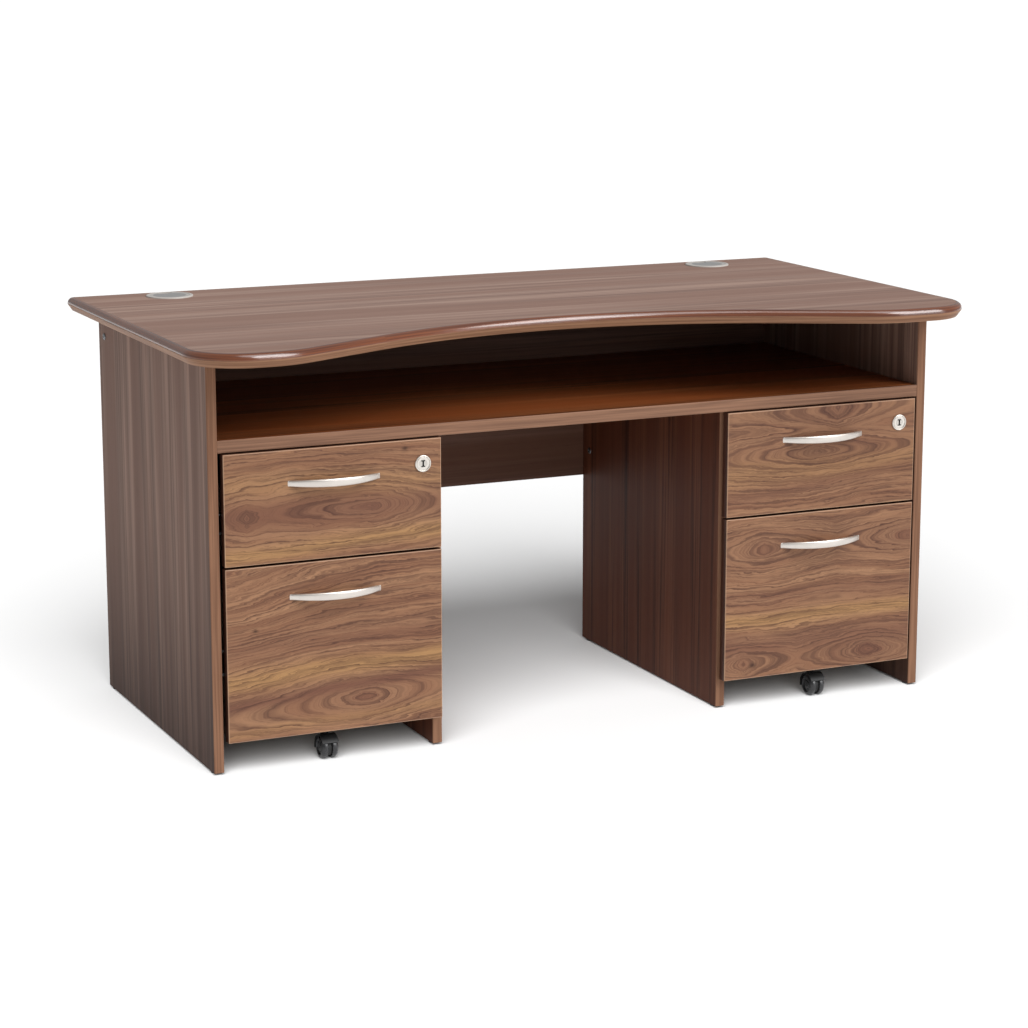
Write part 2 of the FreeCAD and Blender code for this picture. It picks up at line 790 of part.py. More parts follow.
def channel(name, low, high, web_at, tip_at, thickness, x, y, z, mirror):
    """A length of C-channel along Y: a web at web_at and two flanges that reach to tip_at.

    Low and high bound it in height; mirror turns it to face the other way.
    """
    body = new_body(name)
    section = new_sketch(body, name + "_section", "XZ_Plane")
    sign = -1 if mirror else 1
    inner = web_at.value + (thickness.value if tip_at.value > web_at.value else -thickness.value)
    corners = [
        (web_at.value, low.value),
        (tip_at.value, low.value),
        (tip_at.value, low.value + thickness.value),
        (inner, low.value + thickness.value),
        (inner, high.value - thickness.value),
        (tip_at.value, high.value - thickness.value),
        (tip_at.value, high.value),
        (web_at.value, high.value),
    ]
    draw_polygon(section, [(across * sign, up) for across, up in corners])
    pad(body, name + "_length", section, runner_length, reverse=True)
    return place(body, x, y, z)


def make_runners(node, left, height, z, with_middle):
    """A pair of telescopic runners: rail on the carcass, slide on the drawer, and between them
    in a full-extension pair a middle member. Members nest with the same play all round."""
    steel = s.runner_steel
    play = s.runner_play
    start = front_rear + s.runner_front_gap
    rails = []
    middles = []
    slides = []
    for mirror in (False, True):
        label = "%s_%s" % (node, "right" if mirror else "left")
        wall = left + cavity_width if mirror else left
        step = steel + play
        rails.append(channel(label + "_rail", as_size(0), height, as_size(0), s.runner_channel_depth,
                             steel, wall, start, z, mirror))
        inset = step
        if with_middle:
            middles.append(channel(label + "_middle", step, height - step, step,
                                   s.runner_channel_depth + step, steel, wall, start, z, mirror))
            inset = step * 2
        slides.append(channel(label + "_slide", inset, height - inset, s.runner_space, inset,
                              steel, wall, start, z, mirror))
    return rails, middles, slides


# Locks

def make_lock(name, centre_x):
    """Lock of one upper drawer: a housing with a raised rim and a plug that turns its cam.

    The turned pieces are drawn along Z from the drawer front's face and laid along Y.
    Unlocked, the cam points to the left, and it turns up to lock.
    """
    housing_node = name + "_lock_housing"
    bore = s.lock_plug_radius + s.running_clearance
    face = s.lock_face_sink - s.lock_disc_height
    profile = [
        (bore, face),
        (s.lock_disc_radius - s.lock_rim_width, face),
        (s.lock_disc_radius - s.lock_rim_width, -s.lock_disc_height),
        (s.lock_disc_radius, -s.lock_disc_height),
        (s.lock_disc_radius, as_size(0)),
        (s.lock_barrel_radius, as_size(0)),
        (s.lock_barrel_radius, s.lock_barrel_length),
        (bore, s.lock_barrel_length),
    ]
    housing = place(turned(housing_node, profile), centre_x, front_face, lock_height, along("y"))
    keep(housing, housing_node)

    plug_node = name + "_lock_cylinder"
    cam_start = s.lock_barrel_length + s.lock_cam_gap
    cam_end = cam_start + s.lock_cam_thickness
    plug = turned(plug_node + "_plug", [
        (as_size(0), face),
        (s.lock_plug_radius, face),
        (s.lock_plug_radius, s.lock_barrel_length),
        (s.lock_neck_radius, s.lock_barrel_length),
        (s.lock_neck_radius, cam_end),
        (as_size(0), cam_end),
    ])
    half_key = s.keyway_height / 2
    slot = block(plug_node + "_slot", s.keyway_width, s.keyway_height, s.keyway_depth,
                 -(s.keyway_width / 2), -half_key, face)
    slot_ends = [rod("%s_slot_end_%d" % (plug_node, index), s.keyway_end_radius, s.keyway_depth,
                     0, (half_key - s.keyway_end_radius) * side, face)
                 for index, side in enumerate((-1, 1))]
    keyway = fuse(plug_node + "_keyway", [slot] + slot_ends)
    half_cam = s.lock_cam_width / 2
    arm = block(plug_node + "_arm", s.lock_cam_reach, s.lock_cam_width, s.lock_cam_thickness,
                -s.lock_cam_reach, -half_cam, cam_start)
    hub = rod(plug_node + "_hub", half_cam, s.lock_cam_thickness, 0, 0, cam_start)
    tip = rod(plug_node + "_tip", half_cam, s.lock_cam_thickness, -s.lock_cam_reach, 0, cam_start)
    cam = fuse(plug_node + "_cam", [arm, hub, tip])
    whole = fuse(plug_node + "_whole", [cut(plug_node + "_keyed", plug, [keyway]), cam])
    keep(place(group(plug_node, [whole]), centre_x, front_face, lock_height, along("y")), plug_node)


def make_lock_keepers(centres):
    """Steel angles under the shelf that the lock cams turn up behind."""
    rear = front_face + s.lock_barrel_length + s.lock_cam_gap - s.keeper_cam_gap
    pieces = []
    for name, centre_x in centres:
        low_x = centre_x - s.keeper_width / 2
        leaf = block(name + "_keeper_leaf", s.keeper_width, s.keeper_leaf_length, s.keeper_steel,
                     low_x, rear - s.keeper_steel, shelf_under - s.keeper_steel)
        stop = block(name + "_keeper_stop", s.keeper_width, s.keeper_steel, s.keeper_height,
                     low_x, rear - s.keeper_steel, shelf_under - s.keeper_height)
        pieces.append(fuse(name + "_keeper", [leaf, stop]))
    keep(group("lock_keepers", pieces), "lock_keepers")


# Castors

def castor_wheel(name, low):
    """One wheel, turned round Z between low and low plus its width, dished on its outer face."""
    radius = s.castor_wheel_radius
    soft = s.castor_wheel_round
    high = low + s.castor_wheel_width
    bore = s.castor_axle_radius + s.bore_clearance
    profile = [
        (bore, low),
        (radius, low),
        (radius, high - soft),
        (radius - soft, high),
        (s.castor_hub_radius, high),
        (s.castor_hub_radius, high - s.castor_hub_sink),
        (bore, high - s.castor_hub_sink),
    ]
    return turned(name, profile)


def make_castor(name, centre_x):
    """Swivelling twin-wheel castor: plate and sleeve, hood with its pin, wheels on an axle."""
    swivel_y = front_rear + s.castor_setback
    axle_y = swivel_y - s.castor_trail
    axle_z = s.castor_wheel_radius
    plate_under = s.front_bottom_height + s.file_box_lift - s.castor_plate_thickness
    low = s.castor_web_thickness / 2 + s.castor_play
    wheels_width = (low + s.castor_wheel_width) * 2

    wheel_node = name + "_castor_wheels"
    right_wheel = place(castor_wheel(wheel_node + "_right", low), centre_x, axle_y, axle_z, along("x"))
    left_wheel = place(castor_wheel(wheel_node + "_left", low), centre_x, axle_y, axle_z, along("-x"))
    axle_half = wheels_width / 2 - s.castor_hub_sink
    axle = rod(wheel_node + "_axle", s.castor_axle_radius, axle_half * 2,
               centre_x - axle_half, axle_y, axle_z, "x")
    keep(group(wheel_node, [left_wheel, right_wheel, axle]), wheel_node)

    hood_node = name + "_castor_hood"
    inner = s.castor_wheel_radius + s.castor_hood_gap
    outer = inner + s.castor_hood_thickness
    shell = new_body(hood_node + "_shell")
    section = new_sketch(shell, hood_node + "_section", "YZ_Plane")
    start = s.castor_hood_start_degrees.value
    end = start + s.castor_hood_sweep_degrees.value
    outer_arc = arc(0, 0, outer.value, start, end)
    inner_arc = arc(0, 0, inner.value, start, end)
    section.addGeometry(outer_arc)
    section.addGeometry(Part.LineSegment(outer_arc.EndPoint, inner_arc.EndPoint))
    section.addGeometry(inner_arc)
    section.addGeometry(Part.LineSegment(inner_arc.StartPoint, outer_arc.StartPoint))
    pad(shell, hood_node + "_width", section, wheels_width)
    place(shell, centre_x - wheels_width / 2, axle_y, axle_z)
    web_half = s.castor_web_thickness / 2
    web_disc = rod(hood_node + "_web_disc", s.castor_web_radius, s.castor_web_thickness,
                   centre_x - web_half, axle_y, axle_z, "x")
    web_neck = block(hood_node + "_web_neck", s.castor_web_thickness, s.castor_trail + web_half,
                     inner, centre_x - web_half, axle_y - web_half, axle_z)
    bored_web = cut(hood_node + "_web", fuse(hood_node + "_web_blank", [web_disc, web_neck]),
                    [rod(hood_node + "_axle_bore", s.castor_axle_radius + s.running_clearance,
                         s.castor_web_thickness, centre_x - web_half, axle_y, axle_z, "x")])
    boss_top = axle_z + outer + s.castor_pin_radius
    post = rod(hood_node + "_post", s.castor_boss_radius, boss_top - axle_z, centre_x, swivel_y, axle_z)
    boss = cut(hood_node + "_boss", post, [rod(hood_node + "_wheel_room", inner, wheels_width,
                                               centre_x - wheels_width / 2, axle_y, axle_z, "x")])
    pin = rod(hood_node + "_pin", s.castor_pin_radius, plate_under - boss_top, centre_x, swivel_y, boss_top)
    keep(fuse(hood_node, [shell, bored_web, boss, pin]), hood_node)

    plate_node = name + "_castor_plate"
    half = s.castor_plate_size / 2
    plate = block(plate_node + "_sheet", s.castor_plate_size, s.castor_plate_size, s.castor_plate_thickness,
                  centre_x - half, swivel_y - half, plate_under)
    sleeve_low = boss_top + s.castor_sleeve_gap
    sleeve = rod(plate_node + "_sleeve", s.castor_sleeve_radius, plate_under - sleeve_low,
                 centre_x, swivel_y, sleeve_low)
    bore = rod(plate_node + "_bore", s.castor_pin_radius + s.running_clearance,
               plate_under + s.running_clearance - sleeve_low, centre_x, swivel_y, sleeve_low)
    keep(cut(plate_node, fuse(plate_node + "_blank", [plate, sleeve]), [bore]), plate_node)


# Assembly

make_worktop()
make_worktop_edge()
make_shelf()
make_back_panel()
make_glides()
make_bolts()
make_cam_fittings()
make_grommet_rings()

upper_rails = []
file_rails = []
lock_centres = []
for pedestal, side in (("left", -1), ("right", 1)):
    make_end_panel(pedestal, side)
    make_inner_panel(pedestal, side)
    make_pedestal_back(pedestal, side)
    make_grommet_lid(pedestal, side)

    cavity_left = -cavity_half_outer if side < 0 else cavity_half_inner
    front_left = s.front_reveal - cavity_half_outer if side < 0 else knee_half + s.front_reveal
    front_centre = front_left + front_width / 2
    box_left = cavity_left + s.runner_space

    upper = pedestal + "_upper_drawer"
    lock_x = front_width - s.lock_edge_distance
    make_drawer_front(upper + "_front", front_left, upper_front_bottom, s.upper_front_height, lock_x)
    make_handle(pedestal + "_upper_handle", front_centre,
                upper_front_bottom + s.upper_front_height - s.handle_drop)
    upper_under = upper_front_bottom + s.upper_box_lift
    make_drawer_box(upper, box_left, upper_under, s.upper_side_height, s.upper_bottom_thickness)
    rails, middles, slides = make_runners(upper, cavity_left, s.upper_runner_height,
                                          upper_under + s.upper_runner_lift, False)
    upper_rails += rails
    keep(group(upper + "_slides", slides), upper + "_slides")

    file_drawer = pedestal + "_file_drawer"
    make_drawer_front(file_drawer + "_front", front_left, s.front_bottom_height, file_front_height, None)
    make_handle(pedestal + "_file_handle", front_centre,
                s.front_bottom_height + file_front_height - s.handle_drop)
    file_under = s.front_bottom_height + s.file_box_lift
    make_drawer_box(file_drawer, box_left, file_under, s.file_side_height, s.file_bottom_thickness)
    rails, middles, slides = make_runners(file_drawer, cavity_left, s.file_runner_height,
                                          file_under + s.file_runner_lift, True)
    file_rails += rails
    keep(group(file_drawer + "_middle_members", middles), file_drawer + "_middle_members")
    keep(group(file_drawer + "_slides", slides), file_drawer + "_slides")

    lock_centre = front_left + lock_x
    lock_centres.append((pedestal, lock_centre))
    make_lock(pedestal, lock_centre)
    make_castor(pedestal, cavity_left + cavity_width / 2)

keep(group("upper_runner_rails", upper_rails), "upper_runner_rails")
keep(group("file_runner_rails", file_rails), "file_runner_rails")
make_lock_keepers(lock_centres)

document.recompute()
for item in document.Objects:
    if "Invalid" in item.State or "Error" in item.State:
        raise ValueError(item.Name + " failed: " + ", ".join(item.State))
os.makedirs("parts", exist_ok=True)
for node, item in sub_parts.items():
    shape = item.Shape
    if shape.isNull() or not shape.isValid():
        raise ValueError(node + " has no valid shape")
    shape.exportStep("parts/%s.step" % node)
print(len(sub_parts), "sub-parts written")
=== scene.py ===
import math

import bmesh
import bpy
import numpy as np
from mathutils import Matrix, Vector


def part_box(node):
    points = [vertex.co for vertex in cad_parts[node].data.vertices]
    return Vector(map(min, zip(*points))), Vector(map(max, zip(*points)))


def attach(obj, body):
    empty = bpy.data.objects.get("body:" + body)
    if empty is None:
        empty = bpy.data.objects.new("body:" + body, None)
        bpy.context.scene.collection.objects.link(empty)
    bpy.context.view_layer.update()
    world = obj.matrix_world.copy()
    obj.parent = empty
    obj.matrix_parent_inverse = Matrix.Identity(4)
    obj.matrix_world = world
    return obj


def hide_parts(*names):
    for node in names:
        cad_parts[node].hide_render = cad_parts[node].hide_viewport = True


# Writing desk in walnut laminate: wave-front worktop with a lacquered moulding, two drawer
# pedestals with bow handles. Metres, +X the desk's right, +Y its back, +Z up, floor at z 0.

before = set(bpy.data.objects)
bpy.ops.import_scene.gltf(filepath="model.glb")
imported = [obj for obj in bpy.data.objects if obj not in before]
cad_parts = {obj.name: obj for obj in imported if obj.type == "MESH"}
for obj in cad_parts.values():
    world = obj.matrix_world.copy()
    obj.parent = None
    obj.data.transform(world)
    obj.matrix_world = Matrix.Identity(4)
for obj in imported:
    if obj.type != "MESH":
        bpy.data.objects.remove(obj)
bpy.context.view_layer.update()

SIDES = {"left": -1, "right": 1}

# Camera: at the photograph's viewing angle, a little left of the desk and above it.
CAMERA_PLACE = (-2.1528, -4.7012, 1.4538)
CAMERA_PITCH_DEGREES = -12.141
CAMERA_YAW_DEGREES = -24.481
CAMERA_LENS = 98.54
CAMERA_SENSOR = 36.0

# Plan of the worktop's wave front, as in the CAD source.
WAVE_DEPTH = 0.183
WAVE_OFFSET = 0.015
WAVE_SHOULDER = 0.037
WAVE_PEAK_RADIUS = 0.180
WAVE_SLOPE_DEGREES = 26.0
FRONT_CORNER_RADIUS = 0.100
BACK_CORNER_RADIUS = 0.012
BOARD_CORNER_RADIUS = 0.002

# Degrees between the points of the outline's arcs, and the fewest steps of an arc.
HOLLOW_STEP = 1.0
PEAK_STEP = 1.5
FRONT_CORNER_STEP = 3.0
BACK_CORNER_STEP = 9.0
LEAST_ARC_STEPS = 8

# Section of the moulding round the worktop.
MOULDING_WIDTH = 0.022
MOULDING_ROUND = 0.011
MOULDING_SLANT_WIDTH = 0.009
MOULDING_SLANT_HEIGHT = 0.013
MOULDING_ARRIS = 0.0008
FLAT_COUNT = 4
ROUND_COUNT = 15

# Steps of the small arcs at a section's corners.
CORNER_STEPS = 3


# Shader maths

class Shade:
    """A number, vector or colour inside a material; + - * and / add Math nodes to it."""

    def __init__(self, tree, socket):
        self.tree = tree
        self.socket = socket

    def joined(self, operation, first, second):
        settings = {"operation": operation}
        return add_node(self.tree, "ShaderNodeMath", settings, {0: first, 1: second})

    def __add__(self, other):
        return self.joined("ADD", self, other)

    def __sub__(self, other):
        return self.joined("SUBTRACT", self, other)

    def __rsub__(self, other):
        return self.joined("SUBTRACT", other, self)

    def __mul__(self, other):
        return self.joined("MULTIPLY", self, other)

    def __truediv__(self, other):
        return self.joined("DIVIDE", self, other)

    __radd__ = __add__
    __rmul__ = __mul__


def add_node(tree, kind, settings, inputs, output=0):
    """Any node of the tree: its settings come first, then the values or links of its sockets."""
    node = tree.nodes.new(kind)
    for name, value in settings.items():
        if name == "stops":
            set_stops(node.color_ramp, value)
        else:
            setattr(node, name, value)
    for name, value in inputs.items():
        if isinstance(value, Shade):
            tree.links.new(value.socket, node.inputs[name])
        else:
            node.inputs[name].default_value = value
    return Shade(tree, node.outputs[output]) if len(node.outputs) else None


def set_stops(ramp, stops):
    """Give a colour ramp its stops, each a place and a grey, both from 0 to 1."""
    for _ in stops[2:]:
        ramp.elements.new(0.5)
    for element, (position, grey) in zip(ramp.elements, stops):
        element.position = position
        element.color = (grey, grey, grey, 1.0)


class Finish:
    """A material in the making, with the few kinds of node that its colour and gloss need."""

    def __init__(self, name):
        self.material = bpy.data.materials.new(name)
        self.material.use_nodes = True
        self.tree = self.material.node_tree
        self.tree.nodes.clear()

    def node(self, kind, settings, inputs, output=0):
        return add_node(self.tree, kind, settings, inputs, output)

    def math(self, operation, first, second=0.0):
        return self.node("ShaderNodeMath", {"operation": operation}, {0: first, 1: second})

    def fade(self, value):
        """1 where the value is 0, and e to the power of minus the value elsewhere."""
        return self.math("EXPONENT", 0.0 - value)

    def parts(self, vector, letters):
        """The parts of a vector that the letters name."""
        return [self.node("ShaderNodeSeparateXYZ", {}, {"Vector": vector}, letter.upper())
                for letter in letters]

    def axes(self, order="xyz"):
        """Object coordinates in metres, in the order asked for."""
        return self.parts(self.node("ShaderNodeTexCoord", {}, {}, "Object"), order)

    def unwrapped(self):
        """The piece's own UV map as two lengths."""
        return self.parts(self.node("ShaderNodeUVMap", {"uv_map": UV_NAME}, {}), "xy")

    def noise(self, x, y, z, detail=2.0, roughness=0.5, distortion=0.0):
        place = self.node("ShaderNodeCombineXYZ", {}, {0: x, 1: y, 2: z})
        return self.node("ShaderNodeTexNoise", {}, {
            "Vector": place, "Scale": 1.0, "Detail": detail,
            "Roughness": roughness, "Distortion": distortion})

    def streaks(self, board, size, seed, detail=2.0, roughness=0.5, distortion=0.0):
        """Noise drawn out along the grain, in patches of the length and width that size gives."""
        along, across, through = board
        length, width = size
        return self.noise(along / length + seed, across / width + seed, through / width,
                          detail, roughness, distortion)

    def patches(self, place, size, detail=2.0, roughness=0.5):
        """Noise in patches of about the same size in every direction."""
        x, y, z = place
        return self.noise(x / size, y / size, z / size, detail, roughness)

    def level(self, factor, low, high):
        """0 below low, 1 above high and a smooth rise between them."""
        return self.node("ShaderNodeMapRange", {"interpolation_type": "SMOOTHSTEP"}, {
            "Value": factor, "From Min": low, "From Max": high})

    def mix(self, factor, first, second, blend="MIX"):
        """A colour between two others; sockets 6 and 7 are the node's colours."""
        return self.node("ShaderNodeMix", {"data_type": "RGBA", "blend_type": blend},
                         {0: factor, 6: first, 7: second}, 2)

    def bump(self, height, distance, strength):
        return self.node("ShaderNodeBump", {}, {
            "Height": height, "Distance": distance, "Strength": strength})

    def done(self, **sockets):
        """Feed the shader, each socket under its own name with spaces as underscores."""
        inputs = {name.replace("_", " "): value for name, value in sockets.items()}
        shader = self.node("ShaderNodeBsdfPrincipled", {}, inputs)
        self.node("ShaderNodeOutputMaterial", {}, {"Surface": shader})
        return self.material


def paint(red, green, blue):
    """A colour given as it looks on a screen, from 0 to 255, made linear."""
    linear = [((c / 255 + 0.055) / 1.055) ** 2.4 if c > 10 else c / 255 / 12.92
              for c in (red, green, blue)]
    return (*linear, 1.0)


# Walnut laminates

def straight_colour(finish, board, tones, seed):
    """Colour of long straight streaks, and the fibre noise under it.

    Tones are the light, dark and warm colours. Three layers of drawn-out noise give broad
    tone, bands a finger wide and fine lines, and a fourth the pores.
    """
    light, dark, warm = tones
    tone = finish.streaks(board, TONE_STREAK, seed)
    band = finish.streaks(board, BAND_STREAK, seed + 7, 3.0, 0.55, 0.20)
    line = finish.streaks(board, LINE_STREAK, seed + 13, 3.0, 0.6, 0.15)
    fibre = finish.streaks(board, FIBRE_STREAK, seed + 21)
    depth = finish.level(band * 0.65 + line * 0.35, 0.36, 0.64)
    colour = finish.mix(depth, light, dark)
    colour = finish.mix(finish.level(tone, 0.38, 0.60) * 0.85, colour, warm)
    pores = finish.level(fibre, 0.60, 0.72) * finish.level(line, 0.40, 0.60)
    return finish.mix(pores * 0.35, colour, dark, "MULTIPLY"), fibre


def straight_walnut(name, order, tones, seed, sheen, gloss, edge_below=None, foot=None):
    """Straight-grained laminate, with a paler band on its front edge if it has one.

    Order names the axes along the grain, across it and through the board. Gloss is taken
    off the roughness. The edge band lies before edge_below. Foot is the colour of painted
    shade that darkens the board towards the floor.
    """
    finish = Finish(name)
    board = finish.axes(order)
    colour, fibre = straight_colour(finish, board, tones, seed)
    # Painted shade: the board's colour darkens towards the floor.
    if foot is not None:
        shade_near_floor = 1.0 - finish.level(finish.axes("z")[0], FOOT_DEPTH, FOOT_HEIGHT)
        colour = finish.mix(shade_near_floor, colour, foot, "MULTIPLY")
    if edge_below is not None:
        edge = finish.math("LESS_THAN", finish.axes("y")[0], edge_below)
        colour = finish.mix(edge, colour, edge_walnut(finish, board, seed))
    normal = finish.bump(fibre, FIBRE_DEPTH, 0.5)
    roughness = fibre * FIBRE_ROUGHNESS + (LAMINATE_ROUGHNESS - gloss)
    return finish.done(Base_Color=colour, Roughness=roughness, Normal=normal,
                       Specular_IOR_Level=sheen)


def edge_walnut(finish, board, seed):
    """Colour of the edge band: warm brown, its grain finer than the faces'."""
    line = finish.streaks(board, EDGE_STREAK, seed + 31, 3.0, 0.6)
    return finish.mix(finish.level(line, 0.35, 0.65), EDGE_PALE, EDGE_DEEP)


def ring_field(finish, along, across, size, lines):
    """Count of growth rings from the tree's heart, as the front's face cuts through them.

    Each line is a heart line along the grain, given as its share of the height, its slant,
    the rings between it and the face, and its eyes. The rings count up on both sides of it.
    At an eye the heart comes up towards the face and the rings close into ovals. An eye has
    its place, its lengths to the left and right, and the share of the depth that is left.
    """
    width, height = size
    field = None
    for share_z, slant, rings, eyes in lines:
        off = (across - share_z * height - along * slant) / LINE_SPACING
        dip = None
        for share_x, left, right, least_share in eyes:
            beside = along - share_x * width
            away = finish.math("MAXIMUM", beside / right, beside / -left)
            rise = 1.0 - finish.fade(away) * (1.0 - least_share)
            dip = rise if dip is None else finish.math("MINIMUM", dip, rise)
        depth = dip * rings
        count = finish.math("SQRT", off * off + depth * depth)
        if field is None:
            field = count
        else:
            field = finish.node("ShaderNodeMath", {"operation": "SMOOTH_MIN"},
                                {0: field, 1: count, 2: HEART_BLEND})
    return field


def figured_walnut(node, lines, hills, wander, ochre, dusk, knots, seed):
    """Drawer front cut flat from the log: streaks are noise read along its growth rings.

    Drawn-out noise makes the rings wander, and each hill bends them up or down. Places are
    shares of the front's width and height, measured from its lower left.
    """
    low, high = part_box(node)
    width = high.x - low.x
    height = high.z - low.z
    finish = Finish(node + "_walnut")
    board = finish.axes("xzy")
    along = board[0] - low.x
    across = board[1] - low.z
    roll = finish.streaks(board, ROLL_STREAK, seed)
    ripple = finish.streaks(board, RIPPLE_STREAK, seed + 5, 3.0, 0.6)
    bent = across + (roll - 0.5) * (wander * LINE_SPACING)
    bent = bent + (ripple - 0.5) * (RIPPLE * LINE_SPACING)
    for share_x, share_z, length, breadth, rise in hills:
        hill = spot(finish, along - share_x * width, across - share_z * height, length, breadth)
        bent = bent - hill * rise
    land = ring_field(finish, along, bent, (width, height), lines)
    broad = finish.noise(along / 0.60 + seed, land * 0.45, 0.0, 3.0, 0.55)
    narrow = finish.noise(along / 0.40 + seed, land * 1.5, 3.0, 3.0, 0.60)
    thread = finish.noise(along / 0.15 + seed, land * 5.0, 7.0, 3.0, 0.60)
    within_ring = finish.math("FRACT", land)
    edge = finish.node("ShaderNodeValToRGB", {"stops": LATE_WOOD}, {"Fac": within_ring})
    strength = finish.noise(along / 0.12 + seed, land * 0.45, 11.0, 2.0)
    fibre = finish.streaks(board, FRONT_FIBRE_STREAK, seed + 9)

    colour = finish.mix(finish.level(broad, 0.34, 0.66), FRONT_PALE, FRONT_MIDDLE)
    for tint, bands in ((FRONT_OCHRE, ochre), (FRONT_DUSK, dusk)):
        for share_z, slant, breadth, amount in bands:
            band = band_across(finish, along, across, height, roll, share_z, slant, breadth)
            colour = finish.mix(band * amount, colour, tint)
    colour = finish.mix(finish.fade(land * 0.35) * 0.65, colour, FRONT_DUSK)
    for darkening in (
            finish.level(narrow, 0.46, 0.70) * 0.62,
            edge * finish.level(strength, 0.36, 0.60) * 0.70,
            finish.level(thread, 0.46, 0.66) * 0.42,
            finish.level(fibre, 0.58, 0.70) * 0.18):
        colour = finish.mix(darkening, colour, FRONT_DARK)
    for share_x, share_z, size in knots:
        knot = spot(finish, along - share_x * width, across - share_z * height,
                    size * KNOT_STRETCH, size)
        colour = finish.mix(knot * 0.8, colour, KNOT)
    # Behind the face laminate, the dark brown of the edges: edge band, partly painted shade.
    behind = finish.level(board[2], low.y + FACE_DEPTH, low.y + FACE_DEPTH + FACE_FADE)
    # Painted highlight: a pale line along the face's eased edges.
    eased = arris(finish, board[:2], (low.x, low.z), (high.x, high.z))
    colour = finish.mix(eased * 0.55, colour, ARRIS_HIGHLIGHT)
    colour = finish.mix(behind, colour, FRONT_EDGE_AND_SHADE)
    normal = finish.bump(fibre * 0.5 - narrow * 0.5, FRONT_FIBRE_DEPTH, 0.6)
    return finish.done(Base_Color=colour, Roughness=fibre * FIBRE_ROUGHNESS + FRONT_ROUGHNESS,
                       Normal=normal, Specular_IOR_Level=LAMINATE_SHEEN)


def spot(finish, along, across, length, breadth):
    """1 in the middle of a soft oval spot, 0 away from it: the bell curve of both distances."""
    u = along / length
    v = across / breadth
    return finish.fade(u * u + v * v)


def band_across(finish, along, across, height, roll, share_z, slant, breadth):
    """1 in the middle of a soft band along the grain that rises by slant, 0 away from it."""
    off = (across - (along * slant + share_z * height) + (roll - 0.5) * BAND_WANDER) / breadth
    return finish.fade(off * off)


def arris(finish, place, low, high):
    """1 on the eased edges of a board's face, from its nearest distance to a side."""
    nearest = None
    for value, least, most in zip(place, low, high):
        for distance in (value - least, most - value):
            nearest = distance if nearest is None else finish.math("MINIMUM", nearest, distance)
    return 1.0 - finish.level(nearest, ARRIS_WIDTH, ARRIS_WIDTH + ARRIS_FADE)


# Specular level of the drawer fronts and the shelf, of the worktop, and of panels and backs.
LAMINATE_SHEEN = 0.22
WORKTOP_SHEEN = 0.14
SIDE_SHEEN = 0.08

# Roughness of a laminate, what its fibres add to it, and how deep they are.
LAMINATE_ROUGHNESS = 0.50
FRONT_ROUGHNESS = 0.34
FIBRE_ROUGHNESS = 0.12
FIBRE_DEPTH = 0.00010
FRONT_FIBRE_DEPTH = 0.00012
LACQUER_FIBRE_DEPTH = 0.00004

# Length along the grain and width across it of the streaks, from broad tones to fibres.
TONE_STREAK = (1.6, 0.060)
BAND_STREAK = (0.9, 0.018)
LINE_STREAK = (0.40, 0.0045)
FIBRE_STREAK = (0.05, 0.0011)
EDGE_STREAK = (0.22, 0.0035)
ROLL_STREAK = (0.22, 0.055)
RIPPLE_STREAK = (0.06, 0.012)
FRONT_FIBRE_STREAK = (0.045, 0.0010)
LACQUER_STREAK = (0.30, 0.004)
LACQUER_FIBRE_STREAK = (0.04, 0.0009)

# Light, dark and warm tones of the straight-grained boards.
# The worktop's tones are lighter and greyer to carry part of its sheen: partly painted sheen.
WORKTOP_SHEENED_TONES = (paint(163, 136, 123), paint(126, 101, 91), paint(136, 107, 95))
WORKTOP_SEED = 1.0
SHELF_TONES = (paint(150, 88, 48), paint(72, 36, 18), paint(118, 60, 26))
END_TONES = (paint(146, 118, 104), paint(98, 76, 67), paint(112, 84, 72))
# The kneehole panels' tones are darker than the end panels': partly painted shade.
INNER_SHADED_TONES = (paint(112, 68, 48), paint(56, 30, 23), paint(90, 50, 34))
BACK_TONES = (paint(116, 88, 76), paint(80, 58, 50), paint(100, 70, 56))

# Edge band of the boards' front edges: its two tones and its thickness.
EDGE_PALE = paint(136, 100, 78)
EDGE_DEEP = paint(112, 80, 62)
EDGE_BAND = 0.0012

# Fleck of the drawer boxes' foil.
FOIL_FLECK = 0.003

# Painted shade of the end panels towards the floor: full at the depth, which lies under
# the floor, and gone at the height.
FOOT_SHADE = paint(106, 82, 72)
FOOT_DEPTH = -0.20
FOOT_HEIGHT = 0.44

# Lacquer of the moulding's round, and the duller slant under it.
LACQUER_PALE = paint(120, 62, 26)
LACQUER_DEEP = paint(78, 34, 13)
SLANT_PALE = paint(154, 116, 90)
SLANT_DEEP = paint(120, 86, 66)
SEAM_HALF = 0.0007

# How far before and after the round's two borders its gloss comes in and goes out.
GLOSS_IN = (0.0005, 0.0012)
GLOSS_OUT = (0.0003, 0.0006)

# Walnut of the drawer fronts.
FRONT_PALE = paint(152, 113, 84)
FRONT_MIDDLE = paint(130, 91, 67)
FRONT_OCHRE = paint(164, 125, 82)
FRONT_DUSK = paint(102, 65, 52)
FRONT_DARK = paint(68, 40, 33)
# Dark brown of the fronts' edges and backs: edge band, darkened partly as painted shade of the
# gaps.
FRONT_EDGE_AND_SHADE = paint(72, 44, 34)
KNOT = paint(48, 28, 22)
# Painted highlight along the fronts' eased edges: its colour, width and fade.
ARRIS_HIGHLIGHT = paint(196, 160, 132)
ARRIS_WIDTH = 0.0008
ARRIS_FADE = 0.0012

# Face laminate of a drawer front: its depth, and the short run in which its colour ends.
FACE_DEPTH = 0.0012
FACE_FADE = 0.0010

